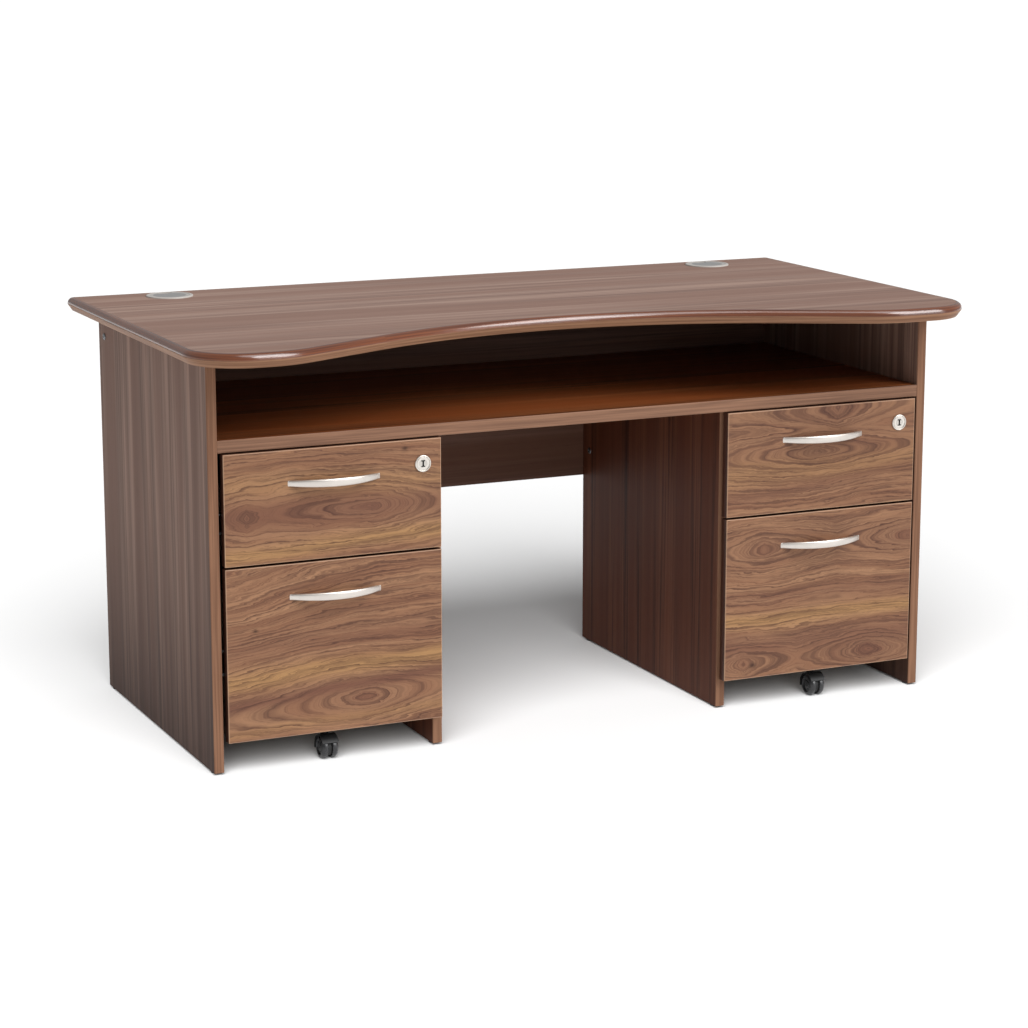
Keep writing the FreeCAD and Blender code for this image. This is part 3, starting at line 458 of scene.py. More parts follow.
# Growth rings: their spacing, the reach of the ripples in spacings, the wander of a colour
# band, the rings over which two hearts run together, the stretch of a knot, and the late
# wood, whose dark line ends each ring.
LINE_SPACING = 0.0075
RIPPLE = 2.2
BAND_WANDER = 0.03
HEART_BLEND = 2.0
KNOT_STRETCH = 1.6
LATE_WOOD = [(0.0, 0.0), (0.50, 0.05), (0.84, 0.75), (0.93, 1.0), (1.0, 0.0)]


def lacquered_edge(round_start, round_end):
    """Moulding: its flat top goes on from the board, its round is glossy, its slant dull.

    The UV map holds the length along the edge and the length round the section. The round
    starts and ends at the two lengths given.
    """
    finish = Finish("moulding_lacquer")
    along, around = finish.unwrapped()
    edge = (along, around, along * 0.0)
    band = finish.level(finish.streaks(edge, LACQUER_STREAK, 3.0, 3.0, 0.55), 0.3, 0.7)
    fibre = finish.streaks(edge, LACQUER_FIBRE_STREAK, 8.0)
    past_flat = finish.level(around, round_start - GLOSS_IN[0], round_start + GLOSS_IN[1])
    seam = finish.level(finish.math("ABSOLUTE", around - round_start), SEAM_HALF, 0.0)
    past_round = finish.level(around, round_end - GLOSS_OUT[0], round_end + GLOSS_OUT[1])
    gloss = past_flat * (1.0 - past_round)
    board_colour, _ = straight_colour(finish, finish.axes(), WORKTOP_SHEENED_TONES, WORKTOP_SEED)
    lacquer = finish.mix(band, LACQUER_PALE, LACQUER_DEEP)
    slant = finish.mix(band, SLANT_PALE, SLANT_DEEP)
    colour = finish.mix(past_round, finish.mix(past_flat, board_colour, lacquer), slant)
    colour = finish.mix(finish.level(fibre, 0.58, 0.72) * 0.3, colour, LACQUER_DEEP)
    colour = finish.mix(seam * 0.6, colour, LACQUER_DEEP)
    normal = finish.bump(fibre, LACQUER_FIBRE_DEPTH, 0.08)
    return finish.done(
        Base_Color=colour, Roughness=0.44 - gloss * 0.04, Coat_Weight=gloss,
        Coat_Roughness=0.18, Coat_IOR=1.75, Specular_IOR_Level=0.08, Normal=normal)


def drawer_board():
    """Plain grey-brown board of the drawer boxes, with the small flecks of its foil."""
    finish = Finish("drawer_board")
    place = finish.axes()
    fleck = finish.patches(place, FOIL_FLECK, 3.0, 0.6)
    cloud = finish.patches(place, 0.08)
    colour = finish.mix(fleck * 0.6 + cloud * 0.4, paint(150, 138, 126), paint(122, 111, 101))
    normal = finish.bump(fleck, 0.0001, 0.5)
    return finish.done(Base_Color=colour, Roughness=fleck * 0.15 + 0.45, Normal=normal)


# Metals and plastics

BRUSH_LENGTH = 0.03
BRUSH_WIDTH = 0.0008
BRUSH_DEPTH = 0.000004
METAL_SMUDGE = (0.02, 0.02)
PLASTIC_GRAIN = 0.0007
PLASTIC_GRAIN_DEPTH = 0.00008

# Silver lacquer of the cable ports, and the bright band at the lids' rims.
SILVER_SHEEN = 0.35
LID_BRIGHT = paint(150, 149, 148)
LID_DARK = paint(128, 127, 127)
LID_RIM = paint(172, 169, 165)
LID_BAND = 0.007
LID_BAND_FADE = 0.0006
TURNING_MARK = 0.0009

# Painted shade of the key's hole in a lock's plug.
KEYHOLE_HALF_WIDTH = 0.0015
KEYHOLE_HALF_HEIGHT = 0.0060
KEYHOLE_FOOT_HALF_WIDTH = 0.0036
KEYHOLE_FOOT_HALF_HEIGHT = 0.0011
KEYHOLE_FOOT_PLACE = 0.0049
KEYHOLE_DEPTH = 0.010


def brushed_metal(name, order, bright, dark, roughness, length=BRUSH_LENGTH):
    """Metal with fine brush lines along the first axis, faint smudges and a soft sheen."""
    finish = Finish(name)
    board = finish.axes(order)
    lines = finish.streaks(board, (length, BRUSH_WIDTH), 2.0)
    smudge = finish.streaks(board, METAL_SMUDGE, 5.0)
    colour = finish.mix(lines * 0.5 + smudge * 0.5, bright, dark)
    normal = finish.bump(lines, BRUSH_DEPTH, 0.2)
    return finish.done(Base_Color=colour, Metallic=1.0, Normal=normal,
                       Roughness=lines * 0.06 + smudge * 0.08 + (roughness - 0.07))


def silver_lid(node):
    """Silver lacquer of a port's lid: turning marks round its middle, a bright band at its rim."""
    low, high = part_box(node)
    radius = (high.x - low.x) / 2
    finish = Finish(node + "_silver")
    x, y, z = finish.axes()
    across = x - (low.x + radius)
    beside = y - (low.y + radius)
    out = finish.math("SQRT", across * across + beside * beside)
    marks = finish.noise(out / TURNING_MARK, z / 0.002, 0.0)
    smudge = finish.patches((x, y, z), 0.012, 3.0)
    band_start = radius - LID_BAND
    band = finish.level(out, band_start - LID_BAND_FADE, band_start + LID_BAND_FADE)
    colour = finish.mix(marks * 0.5 + smudge * 0.5, LID_BRIGHT, LID_DARK)
    colour = finish.mix(band, colour, LID_RIM)
    normal = finish.bump(marks * 0.1 + band, 0.0006, 0.5)
    return finish.done(Base_Color=colour, Normal=normal, Specular_IOR_Level=SILVER_SHEEN,
                       Roughness=marks * 0.06 + smudge * 0.10 + 0.34)


def silver_ring(name, bright, dark):
    """Silver lacquer of the ports' rings, with faint smudges."""
    finish = Finish(name)
    place = finish.axes()
    smudge = finish.patches(place, 0.010, 3.0)
    speck = finish.patches(place, 0.0008)
    colour = finish.mix(smudge * 0.7 + speck * 0.3, bright, dark)
    normal = finish.bump(speck, 0.00002, 0.3)
    return finish.done(Base_Color=colour, Normal=normal, Specular_IOR_Level=SILVER_SHEEN,
                       Roughness=smudge * 0.12 + 0.28)


def keyed_nickel(side):
    """Nickel of a lock's plug, its key's hole painted dark as shade: a bar with a foot at each
    end.
    """
    low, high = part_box(side + "_lock_cylinder")
    finish = Finish(side + "_lock_plug_nickel")
    x, y, z = finish.axes()
    depth = y - low.y
    beside = finish.math("ABSOLUTE", x - (high.x - PLUG_RADIUS))
    above = finish.math("ABSOLUTE", z - (low.z + high.z) / 2)
    from_foot = finish.math("ABSOLUTE", above - KEYHOLE_FOOT_PLACE)
    bar = (finish.math("LESS_THAN", beside, KEYHOLE_HALF_WIDTH)
           * finish.math("LESS_THAN", above, KEYHOLE_HALF_HEIGHT))
    feet = (finish.math("LESS_THAN", beside, KEYHOLE_FOOT_HALF_WIDTH)
            * finish.math("LESS_THAN", from_foot, KEYHOLE_FOOT_HALF_HEIGHT))
    on_face = finish.math("LESS_THAN", depth, KEYHOLE_DEPTH)
    keyhole_shade = finish.math("MAXIMUM", bar, feet) * on_face
    smudge = finish.patches((x, y, z), 0.003, 3.0)
    nickel_colour = finish.mix(smudge, paint(214, 209, 202), paint(188, 183, 176))
    # Painted shade: the key's hole is near black and not metallic.
    colour = finish.mix(keyhole_shade, nickel_colour, paint(10, 9, 9))
    return finish.done(Base_Color=colour, Metallic=1.0 - keyhole_shade, Roughness=smudge * 0.12 + 0.30)


def moulded_plastic(name, colour, roughness):
    """Moulded plastic with a fine leathery skin, worn lighter in patches."""
    finish = Finish(name)
    place = finish.axes()
    skin = finish.patches(place, PLASTIC_GRAIN)
    wear = finish.patches(place, 0.012, 3.0)
    lighter = (*[c * 1.8 + 0.004 for c in colour[:3]], 1.0)
    shade = finish.mix(finish.level(wear, 0.5, 0.75) * 0.5, colour, lighter)
    normal = finish.bump(skin, PLASTIC_GRAIN_DEPTH, 0.5)
    return finish.done(Base_Color=shade, Roughness=wear * 0.2 + (roughness - 0.1), Normal=normal)


# Surfaces

UV_NAME = "Lengths"
SHARP_DEGREES = 32.0
WELD_DISTANCE = 1e-6


def surface(name, points, lengths=None):
    """A closed mesh over a grid of points that joins up both ways.

    Points has rows round the section and columns along the path. Lengths, of the same
    rows and columns plus one each way, holds the UV map.
    """
    rows, columns = points.shape[:2]
    row, column = np.meshgrid(np.arange(rows), np.arange(columns), indexing="ij")
    next_row = (row + 1) % rows
    next_column = (column + 1) % columns
    corners = np.stack([row * columns + column, row * columns + next_column,
                        next_row * columns + next_column, next_row * columns + column], -1)
    mesh = bpy.data.meshes.new(name)
    mesh.from_pydata(points.reshape(-1, 3).tolist(), [], corners.reshape(-1, 4).tolist())
    if lengths is not None:
        layer = mesh.uv_layers.new(name=UV_NAME)
        uv = np.stack([lengths[:-1, :-1], lengths[:-1, 1:],
                       lengths[1:, 1:], lengths[1:, :-1]], 2)
        layer.data.foreach_set("uv", uv.astype(np.float32).ravel())
    return finished(name, mesh)


def finished(name, mesh):
    """Weld the mesh's doubles, turn its faces outwards, smooth it and put it in the scene."""
    work = bmesh.new()
    work.from_mesh(mesh)
    bmesh.ops.remove_doubles(work, verts=work.verts, dist=WELD_DISTANCE)
    stray = [edge for edge in work.edges if not edge.link_faces]
    bmesh.ops.delete(work, geom=stray, context="EDGES")
    bmesh.ops.recalc_face_normals(work, faces=work.faces)
    work.to_mesh(mesh)
    work.free()
    mesh.shade_smooth()
    mesh.set_sharp_from_angle(angle=math.radians(SHARP_DEGREES))
    piece = bpy.data.objects.new(name, mesh)
    bpy.context.scene.collection.objects.link(piece)
    return piece


def rounded_profile(corners, steps=CORNER_STEPS):
    """A closed section through corners, each given as x, y and how far off its rounding starts.

    A corner is the curve start (1 - s)^2 + middle 2 s (1 - s) + end s^2, with s from 0 to 1.
    """
    corners = np.array(corners, float)
    before = np.roll(corners, 1, 0)[:, :2] - corners[:, :2]
    after = np.roll(corners, -1, 0)[:, :2] - corners[:, :2]
    before /= np.linalg.norm(before, axis=1)[:, None]
    after /= np.linalg.norm(after, axis=1)[:, None]
    share = np.linspace(0.0, 1.0, steps + 1)[None, :, None]
    radius = corners[:, 2][:, None, None]
    start = corners[:, None, :2] + before[:, None, :] * radius
    end = corners[:, None, :2] + after[:, None, :] * radius
    middle = corners[:, None, :2]
    curve = start * (1 - share) ** 2 + middle * 2 * share * (1 - share) + end * share ** 2
    return curve.reshape(-1, 2)


def turned_points(section, centre, axis, segments=72):
    """A section of radius and height carried once round an axis through the centre.

    Height runs along the axis from the centre.
    """
    turn = np.linspace(0.0, 2 * math.pi, segments, endpoint=False)
    radius = section[:, 0][:, None]
    height = section[:, 1][:, None]
    across = radius * np.cos(turn)[None, :]
    beside = radius * np.sin(turn)[None, :]
    level = np.repeat(height, segments, 1)
    order = {"x": (level, across, beside),
             "y": (across, level, beside),
             "z": (across, beside, level)}
    return np.stack(order[axis], -1) + np.array(centre)


def fitted(name, grids, body, material, replaced=()):
    """One piece made of several closed grids, riding on a body with its slot and finish."""
    pieces = [surface(name, points) for points in grids]
    work = bmesh.new()
    for piece in pieces:
        work.from_mesh(piece.data)
    work.to_mesh(pieces[0].data)
    work.free()
    for piece in pieces[1:]:
        mesh = piece.data
        bpy.data.objects.remove(piece)
        bpy.data.meshes.remove(mesh)
    whole = pieces[0]
    whole.data.materials.append(material)
    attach(whole, body)
    if replaced:
        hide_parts(*replaced)


# The worktop's moulding

def arc_points(centre_x, centre_y, radius, start_degrees, end_degrees, step_degrees):
    """Points of an arc: the centre plus the radius times the turn's cosine and sine."""
    steps = max(LEAST_ARC_STEPS, int(abs(end_degrees - start_degrees) / step_degrees))
    turn = np.radians(np.linspace(start_degrees, end_degrees, steps + 1))
    return np.stack([centre_x + radius * np.cos(turn), centre_y + radius * np.sin(turn)], 1)


def between(start, end, count=24):
    """Points on the straight run between two ends, the ends left out."""
    share = np.linspace(0.0, 1.0, count + 2)[1:-1, None]
    return start * (1 - share) + end * share


def worktop_outline(inset):
    """Plan of the worktop drawn inwards by inset, with the same count of points for any inset.

    It runs through the hollow of the wave, up its right slope to the right peak, round the
    right front corner, along the side and back, and so on round to the left slope.
    """
    low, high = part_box("worktop_edge_moulding")
    half = (high.x - low.x) / 2 - inset
    front = low.y + inset
    back = high.y - inset
    slope = WAVE_SLOPE_DEGREES
    reach = (high.x - low.x) / 2 - FRONT_CORNER_RADIUS - WAVE_SHOULDER
    run = reach - WAVE_DEPTH / math.tan(math.radians(slope))
    hollow = run / math.tan(math.radians(slope / 2)) - WAVE_PEAK_RADIUS + inset
    peak = WAVE_PEAK_RADIUS - inset
    corner = FRONT_CORNER_RADIUS - inset
    rear = max(BACK_CORNER_RADIUS - inset, BOARD_CORNER_RADIUS)
    middle = front + WAVE_DEPTH
    arcs = [
        arc_points(-WAVE_OFFSET, middle - hollow, hollow, 90 + slope, 90 - slope, HOLLOW_STEP),
        arc_points(reach - WAVE_OFFSET, front + peak, peak, 270 - slope, 270, PEAK_STEP),
        arc_points(half - corner, front + corner, corner, 270, 360, FRONT_CORNER_STEP),
        arc_points(half - rear, back - rear, rear, 0, 90, BACK_CORNER_STEP),
        arc_points(rear - half, back - rear, rear, 90, 180, BACK_CORNER_STEP),
        arc_points(corner - half, front + corner, corner, 180, 270, FRONT_CORNER_STEP),
        arc_points(-reach - WAVE_OFFSET, front + peak, peak, 270, 270 + slope, PEAK_STEP),
    ]
    runs = []
    for arc, following in zip(arcs, arcs[1:] + arcs[:1]):
        runs += [arc, between(arc[-1], following[0])]
    return np.concatenate(runs)


def moulding_section():
    """Section of the moulding as inset from the outline and depth below the worktop's top.

    It starts at the board on top, goes round the upper quarter circle, down the slant and
    back inside. Returns its points and the count that lie on the flat top and the round.
    """
    low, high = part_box("worktop_edge_moulding")
    thickness = high.z - low.z
    turn = np.radians(np.linspace(0.0, 90.0, ROUND_COUNT))
    round_part = MOULDING_ROUND * np.stack([1 - np.sin(turn), 1 - np.cos(turn)], 1)
    flat = np.linspace(MOULDING_WIDTH, MOULDING_ROUND, FLAT_COUNT, endpoint=False)
    top = np.stack([flat, np.zeros(FLAT_COUNT)], 1)
    upper = np.concatenate([top, round_part])
    waist = thickness - MOULDING_SLANT_HEIGHT
    slanted = rounded_profile([
        (0.0, waist, MOULDING_ARRIS),
        (MOULDING_SLANT_WIDTH, thickness, MOULDING_ARRIS),
        (MOULDING_WIDTH, thickness, 0.0),
        (MOULDING_WIDTH, 0.0, 0.0),
    ])
    both_arrises = slanted[:2 * (CORNER_STEPS + 1)]
    inner = np.array([(MOULDING_WIDTH, thickness)])
    return np.concatenate([upper, both_arrises, inner]), len(upper)


def make_moulding():
    """The section carried round the outline: each of its points follows the plan at its inset.

    Returns the piece, and the lengths round the section at which its round starts and ends.
    """
    section, upper_count = moulding_section()
    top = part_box("worktop_edge_moulding")[1].z
    rings = [worktop_outline(inset) for inset, _ in section]
    points = np.array([np.column_stack([ring, np.full(len(ring), top - depth)])
                       for ring, (_, depth) in zip(rings, section)])
    outer = rings[upper_count - 1]
    steps = np.linalg.norm(np.roll(outer, -1, 0) - outer, axis=1)
    along = np.concatenate([[0.0], np.cumsum(steps)])
    rises = np.linalg.norm(np.roll(section, -1, 0) - section, axis=1)
    around = np.concatenate([[0.0], np.cumsum(rises)])
    lengths = np.stack(np.meshgrid(along, around), -1)
    piece = surface("edge_moulding", points, lengths)
    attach(piece, "desk")
    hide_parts("worktop_edge_moulding")
    return piece, around[FLAT_COUNT], around[upper_count - 1]


# Handles, locks, ports and castors

HANDLE_REACH = 0.026
HANDLE_END_HEIGHT = 0.010
HANDLE_THICKNESS = 0.007
HANDLE_FULLNESS = 0.60
HANDLE_COLUMNS = 81
HANDLE_ROWS = 64
SCREW_SPACING = 0.156
SCREW_RADIUS = 0.0040
SCREW_HEIGHT = 0.0025
SCREW_SOCKET_RADIUS = 0.0013
SCREW_SOCKET_FLOOR = 0.0010
SOCKET_DRAFT = 0.0003
PLUG_RADIUS = 0.007
PLUG_CLEARANCE = 0.0001
LOCK_DISC_HEIGHT = 0.0026
LOCK_RIM_WIDTH = 0.0026
LOCK_FACE_SINK = 0.0007
LOCK_GROOVE_WIDTH = 0.0010
LOCK_GROOVE_DEPTH = 0.0010
LOCK_BARREL_RADIUS = 0.0094
RIM_DRAFT = 0.0002
PORT_FLANGE_RADIUS = 0.044
PORT_FLANGE_HEIGHT = 0.0025
PORT_FLANGE_DRAFT = 0.0003
PORT_BARREL_RADIUS = 0.040
PORT_BORE_RADIUS = 0.038
PORT_LEDGE_RADIUS = 0.035
PORT_LEDGE_DEPTH = 0.0011
WHEEL_WIDTH = 0.011
TYRE_ARRIS = 0.0012
TYRE_SLOPE_WIDTH = 0.0040
TYRE_SLOPE_HEIGHT = 0.0028
TYRE_CROWN = 0.0002
HUB_RADIUS = 0.013
HUB_LIP = 0.0006
HUB_DISH = 0.0025
BOSS_RADIUS = 0.0075
BOSS_DRAFT = 0.0003
BOSS_SINK = 0.0011
AXLE_RADIUS = 0.003
AXLE_SINK = 0.0013
BOLT_LENGTH = 0.050
BOLT_RADIUS = 0.0030
BOLT_HEAD_RADIUS = 0.0065
BOLT_HEAD_HEIGHT = 0.0025
BOLT_RIM_HEIGHT = 0.0006
BOLT_DOME_RADIUS = 0.0046
BOLT_DOME_HEIGHT = 0.0024
BOLT_SOCKET_RADIUS = 0.0020
BOLT_SOCKET_FLOOR = 0.0010
BOLT_TOP_DISTANCE = 0.040
PEDESTAL_BOLT_HEIGHT = 0.394
GLIDE_EDGE_DISTANCE = 0.020
GLIDE_RADIUS = 0.0085
GLIDE_FOOT_RADIUS = 0.0078
GLIDE_BEVEL_HEIGHT = 0.0010
GLIDE_HEIGHT = 0.004


def make_handle(node, body):
    """Bow handle: a full-cornered oval carried along an arc, deepest in the middle.

    The oval's two half sizes are multiplied by the cosine and sine of the turn round it,
    each raised to the fullness. Its height shrinks from the middle towards both ends with
    the square of the distance, and both ends are closed in a point.
    """
    low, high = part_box(node)
    half = (high.x - low.x) / 2
    crown = (high.z - low.z) / 2
    foot = low.y + HANDLE_REACH
    centre_x = (low.x + high.x) / 2
    centre_z = (low.z + high.z) / 2
    radius = (half ** 2 + HANDLE_REACH ** 2) / (2 * HANDLE_REACH)
    spread = math.asin(half / radius)
    middle_radius = radius - HANDLE_THICKNESS / 2
    turn = np.linspace(-spread, spread, HANDLE_COLUMNS)
    share = (np.sin(turn) / math.sin(spread)) ** 2
    height = crown - (crown - HANDLE_END_HEIGHT / 2) * share
    around = np.linspace(0.0, 2 * math.pi, HANDLE_ROWS, endpoint=False)
    out = np.sign(np.cos(around)) * np.abs(np.cos(around)) ** HANDLE_FULLNESS
    up = np.sign(np.sin(around)) * np.abs(np.sin(around)) ** HANDLE_FULLNESS
    reach = middle_radius + out[:, None] * HANDLE_THICKNESS / 2
    x = centre_x + reach * np.sin(turn)[None, :]
    y = foot + (radius - HANDLE_REACH) - reach * np.cos(turn)[None, :]
    z = centre_z + up[:, None] * height[None, :]
    points = np.stack([x, np.minimum(y, foot), z], -1)
    first = points[:, :1].mean(0, keepdims=True).repeat(points.shape[0], 0)
    last = points[:, -1:].mean(0, keepdims=True).repeat(points.shape[0], 0)
    grid = np.concatenate([first, points, last], 1)
    fitted(node + "_bow", [grid], body, nickel, [node])


def make_handle_screws(node, front, body):
    """Two small domed screws behind the drawer front that hold its handle."""
    low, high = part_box(node)
    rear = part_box(front)[1].y
    section = rounded_profile([
        (0.0, 0.0, 0.0),
        (SCREW_RADIUS, 0.0, 0.0),
        (SCREW_RADIUS - 0.0002, SCREW_HEIGHT - 0.0003, 0.0011),
        (SCREW_SOCKET_RADIUS + SOCKET_DRAFT, SCREW_HEIGHT, 0.0003),
        (SCREW_SOCKET_RADIUS, SCREW_SOCKET_FLOOR, 0.0002),
        (0.0, SCREW_SOCKET_FLOOR, 0.0),
    ])
    grids = []
    for side in SIDES.values():
        x = (low.x + high.x) / 2 + side * SCREW_SPACING / 2
        centre = (x, rear, (low.z + high.z) / 2)
        grids.append(turned_points(section, centre, "y", segments=32))
    fitted(node + "_screws", grids, body, zinc)


def make_lock_housing(side):
    """Lock housing: a raised soft rim, a groove and a sunk face, and the barrel behind them."""
    node = side + "_lock_housing"
    low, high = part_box(node)
    radius = (high.x - low.x) / 2
    front_face = low.y + LOCK_DISC_HEIGHT
    face = LOCK_FACE_SINK - LOCK_DISC_HEIGHT
    inner = radius - LOCK_RIM_WIDTH
    bore = PLUG_RADIUS + PLUG_CLEARANCE
    barrel = high.y - front_face
    groove = inner - LOCK_GROOVE_WIDTH
    groove_floor = face + LOCK_GROOVE_DEPTH
    section = rounded_profile([
        (bore, face, 0.0001),
        (groove, face, 0.0002),
        (groove, groove_floor, 0.0001),
        (inner, groove_floor, 0.0001),
        (inner + RIM_DRAFT, -LOCK_DISC_HEIGHT, 0.0005),
        (radius - RIM_DRAFT, -LOCK_DISC_HEIGHT, 0.0014),
        (radius, 0.0, 0.0),
        (LOCK_BARREL_RADIUS, 0.0, 0.0),
        (LOCK_BARREL_RADIUS, barrel, 0.0006),
        (bore, barrel, 0.0),
    ], steps=4)
    centre = ((low.x + high.x) / 2, front_face, (low.z + high.z) / 2)
    grid = turned_points(section, centre, "y")
    fitted(node + "_turned", [grid], side + "_upper_drawer", lock_metal, [node])


def make_port_rings():
    """Rings of the cable ports: a rounded flange, a barrel in the bore and a ledge for the lid."""
    low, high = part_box("grommet_rings")
    top = high.z - PORT_FLANGE_HEIGHT
    section = rounded_profile([
        (PORT_BARREL_RADIUS, low.z - top, 0.0003),
        (PORT_BARREL_RADIUS, 0.0, 0.0),
        (PORT_FLANGE_RADIUS, 0.0, 0.0),
        (PORT_FLANGE_RADIUS - PORT_FLANGE_DRAFT, PORT_FLANGE_HEIGHT, 0.0018),
        (PORT_BORE_RADIUS, PORT_FLANGE_HEIGHT, 0.0006),
        (PORT_BORE_RADIUS, -PORT_LEDGE_DEPTH, 0.0),
        (PORT_LEDGE_RADIUS, -PORT_LEDGE_DEPTH, 0.0004),
        (PORT_LEDGE_RADIUS, low.z - top, 0.0003),
    ], steps=5)
    grids = [turned_points(section, (x, (low.y + high.y) / 2, top), "z", segments=128)
             for x in (low.x + PORT_FLANGE_RADIUS, high.x - PORT_FLANGE_RADIUS)]
    fitted("port_rings", grids, "desk", ring_silver, ["grommet_rings"])


def make_castor_wheels(side):
    """Twin wheels with soft tyres and dished hubs, and the axle between them."""
    node = side + "_castor_wheels"
    low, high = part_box(node)
    centre = (low + high) / 2
    radius = (high.z - low.z) / 2
    half = (high.x - low.x) / 2
    inner = half - WHEEL_WIDTH
    wheel = rounded_profile([
        (AXLE_RADIUS, inner, 0.0),
        (radius - TYRE_ARRIS, inner, 0.0006),
        (radius, inner + TYRE_ARRIS, 0.0006),
        (radius, half - TYRE_SLOPE_WIDTH, 0.0016),
        (radius - TYRE_SLOPE_HEIGHT, half - TYRE_CROWN, 0.0016),
        (HUB_RADIUS + HUB_LIP, half, 0.0004),
        (HUB_RADIUS, half - HUB_DISH, 0.0005),
        (BOSS_RADIUS + BOSS_DRAFT, half - HUB_DISH, 0.0003),
        (BOSS_RADIUS - BOSS_DRAFT, half - BOSS_SINK, 0.0004),
        (AXLE_RADIUS, half - BOSS_SINK, 0.0),
    ], steps=4)
    axle_end = half - AXLE_SINK
    axle = rounded_profile([
        (0.0, -axle_end, 0.0),
        (AXLE_RADIUS, -axle_end, 0.0006),
        (AXLE_RADIUS, axle_end, 0.0006),
        (0.0, axle_end, 0.0),
    ])
    grids = [turned_points(wheel * (1, sign), centre, "x") for sign in SIDES.values()]
    grids.append(turned_points(axle, centre, "x", segments=32))
    fitted(node + "_turned", grids, node, black_tread, [node])


def make_bolts():
    """Connector bolts: domed heads with a round socket on the outer and kneehole faces."""
    section = rounded_profile([
        (0.0, -BOLT_SOCKET_FLOOR, 0.0),
        (BOLT_SOCKET_RADIUS, -BOLT_SOCKET_FLOOR, 0.0),
        (BOLT_SOCKET_RADIUS + SOCKET_DRAFT, -BOLT_HEAD_HEIGHT, 0.0002),
        (BOLT_DOME_RADIUS, -BOLT_DOME_HEIGHT, 0.0012),
        (BOLT_HEAD_RADIUS, -BOLT_RIM_HEIGHT, 0.0003),
        (BOLT_HEAD_RADIUS, 0.0, 0.0),
        (BOLT_RADIUS, 0.0, 0.0),
        (BOLT_RADIUS, BOLT_LENGTH, 0.0006),
        (0.0, BOLT_LENGTH, 0.0),
    ])
    back_low, back_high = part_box("back_panel")
    pedestal_low, pedestal_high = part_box("left_pedestal_back")
    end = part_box("right_end_panel")[1].x
    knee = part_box("right_inner_panel")[0].x
    grids = []
    for side in SIDES.values():
        outer = (end * side, (back_low.y + back_high.y) / 2, back_high.z - BOLT_TOP_DISTANCE)
        inner = (knee * side, (pedestal_low.y + pedestal_high.y) / 2, PEDESTAL_BOLT_HEIGHT)
        grids.append(turned_points(section * (1, -side), outer, "x", segments=40))
        grids.append(turned_points(section * (1, side), inner, "x", segments=40))
    fitted("bolts_turned", grids, "desk", zinc, ["connector_bolts"])


def make_glides():
    """Small moulded discs under the four standing panels."""
    section = rounded_profile([
        (0.0, 0.0, 0.0),
        (GLIDE_FOOT_RADIUS, 0.0, 0.0006),
        (GLIDE_RADIUS, GLIDE_BEVEL_HEIGHT, 0.0004),
        (GLIDE_RADIUS, GLIDE_HEIGHT, 0.0),
        (0.0, GLIDE_HEIGHT, 0.0),
    ])
    grids = []
    for side in SIDES:
        for kind in ("end", "inner"):
            low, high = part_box("%s_%s_panel" % (side, kind))
            for y in (low.y + GLIDE_EDGE_DISTANCE, high.y - GLIDE_EDGE_DISTANCE):
                centre = ((low.x + high.x) / 2, y, 0.0)
                grids.append(turned_points(section, centre, "z", segments=48))
    fitted("glides_turned", grids, "desk", glide_plastic, ["panel_glides"])


# Dressing

BOX_PARTS = ("left_side", "right_side", "back", "bottom")


def dress(nodes, material):
    """Give CAD nodes their finish."""
    for node in nodes:
        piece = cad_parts[node]
        piece.data.materials.clear()
        piece.data.materials.append(material)


def behind_band(node):
    """Where the edge band on a board's front edge ends."""
    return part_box(node)[0].y + EDGE_BAND


moulding, round_start, round_end = make_moulding()
moulding.data.materials.append(lacquered_edge(round_start, round_end))

nickel = brushed_metal(
    "satin_nickel", "xzy", paint(228, 221, 214), paint(202, 195, 188), 0.38, 0.08)
zinc = brushed_metal("zinc_plate", "yzx", paint(138, 140, 142), paint(102, 104, 107), 0.42)
lock_metal = brushed_metal(
    "lock_nickel", "xzy", paint(232, 227, 220), paint(200, 194, 187), 0.36, 0.004)
ring_silver = silver_ring("port_ring_silver", paint(196, 190, 184), paint(172, 167, 162))
black_nylon = moulded_plastic("black_nylon", paint(20, 20, 21), 0.60)
black_tread = moulded_plastic("black_tread", paint(40, 40, 42), 0.26)
glide_plastic = moulded_plastic("glide_plastic", paint(20, 19, 19), 0.5)
box_board = drawer_board()

for side in SIDES:
    for kind in ("upper", "file"):
        drawer = "%s_%s_drawer" % (side, kind)
        handle = "%s_%s_handle" % (side, kind)
        make_handle(handle, drawer)
        make_handle_screws(handle, drawer + "_front", drawer)
        dress(["%s_%s" % (drawer, part) for part in BOX_PARTS], box_board)
        dress([drawer + "_slides"], zinc)
    make_lock_housing(side)
    make_castor_wheels(side)
    dress([side + "_file_drawer_middle_members", side + "_castor_plate"], zinc)
    dress([side + "_lock_cylinder"], keyed_nickel(side))
    dress([side + "_castor_hood"], black_nylon)
    dress([side + "_grommet_lid"], silver_lid(side + "_grommet_lid"))
make_port_rings()
make_bolts()
make_glides()
dress(["upper_runner_rails", "file_runner_rails", "lock_keepers", "cam_fittings"], zinc)

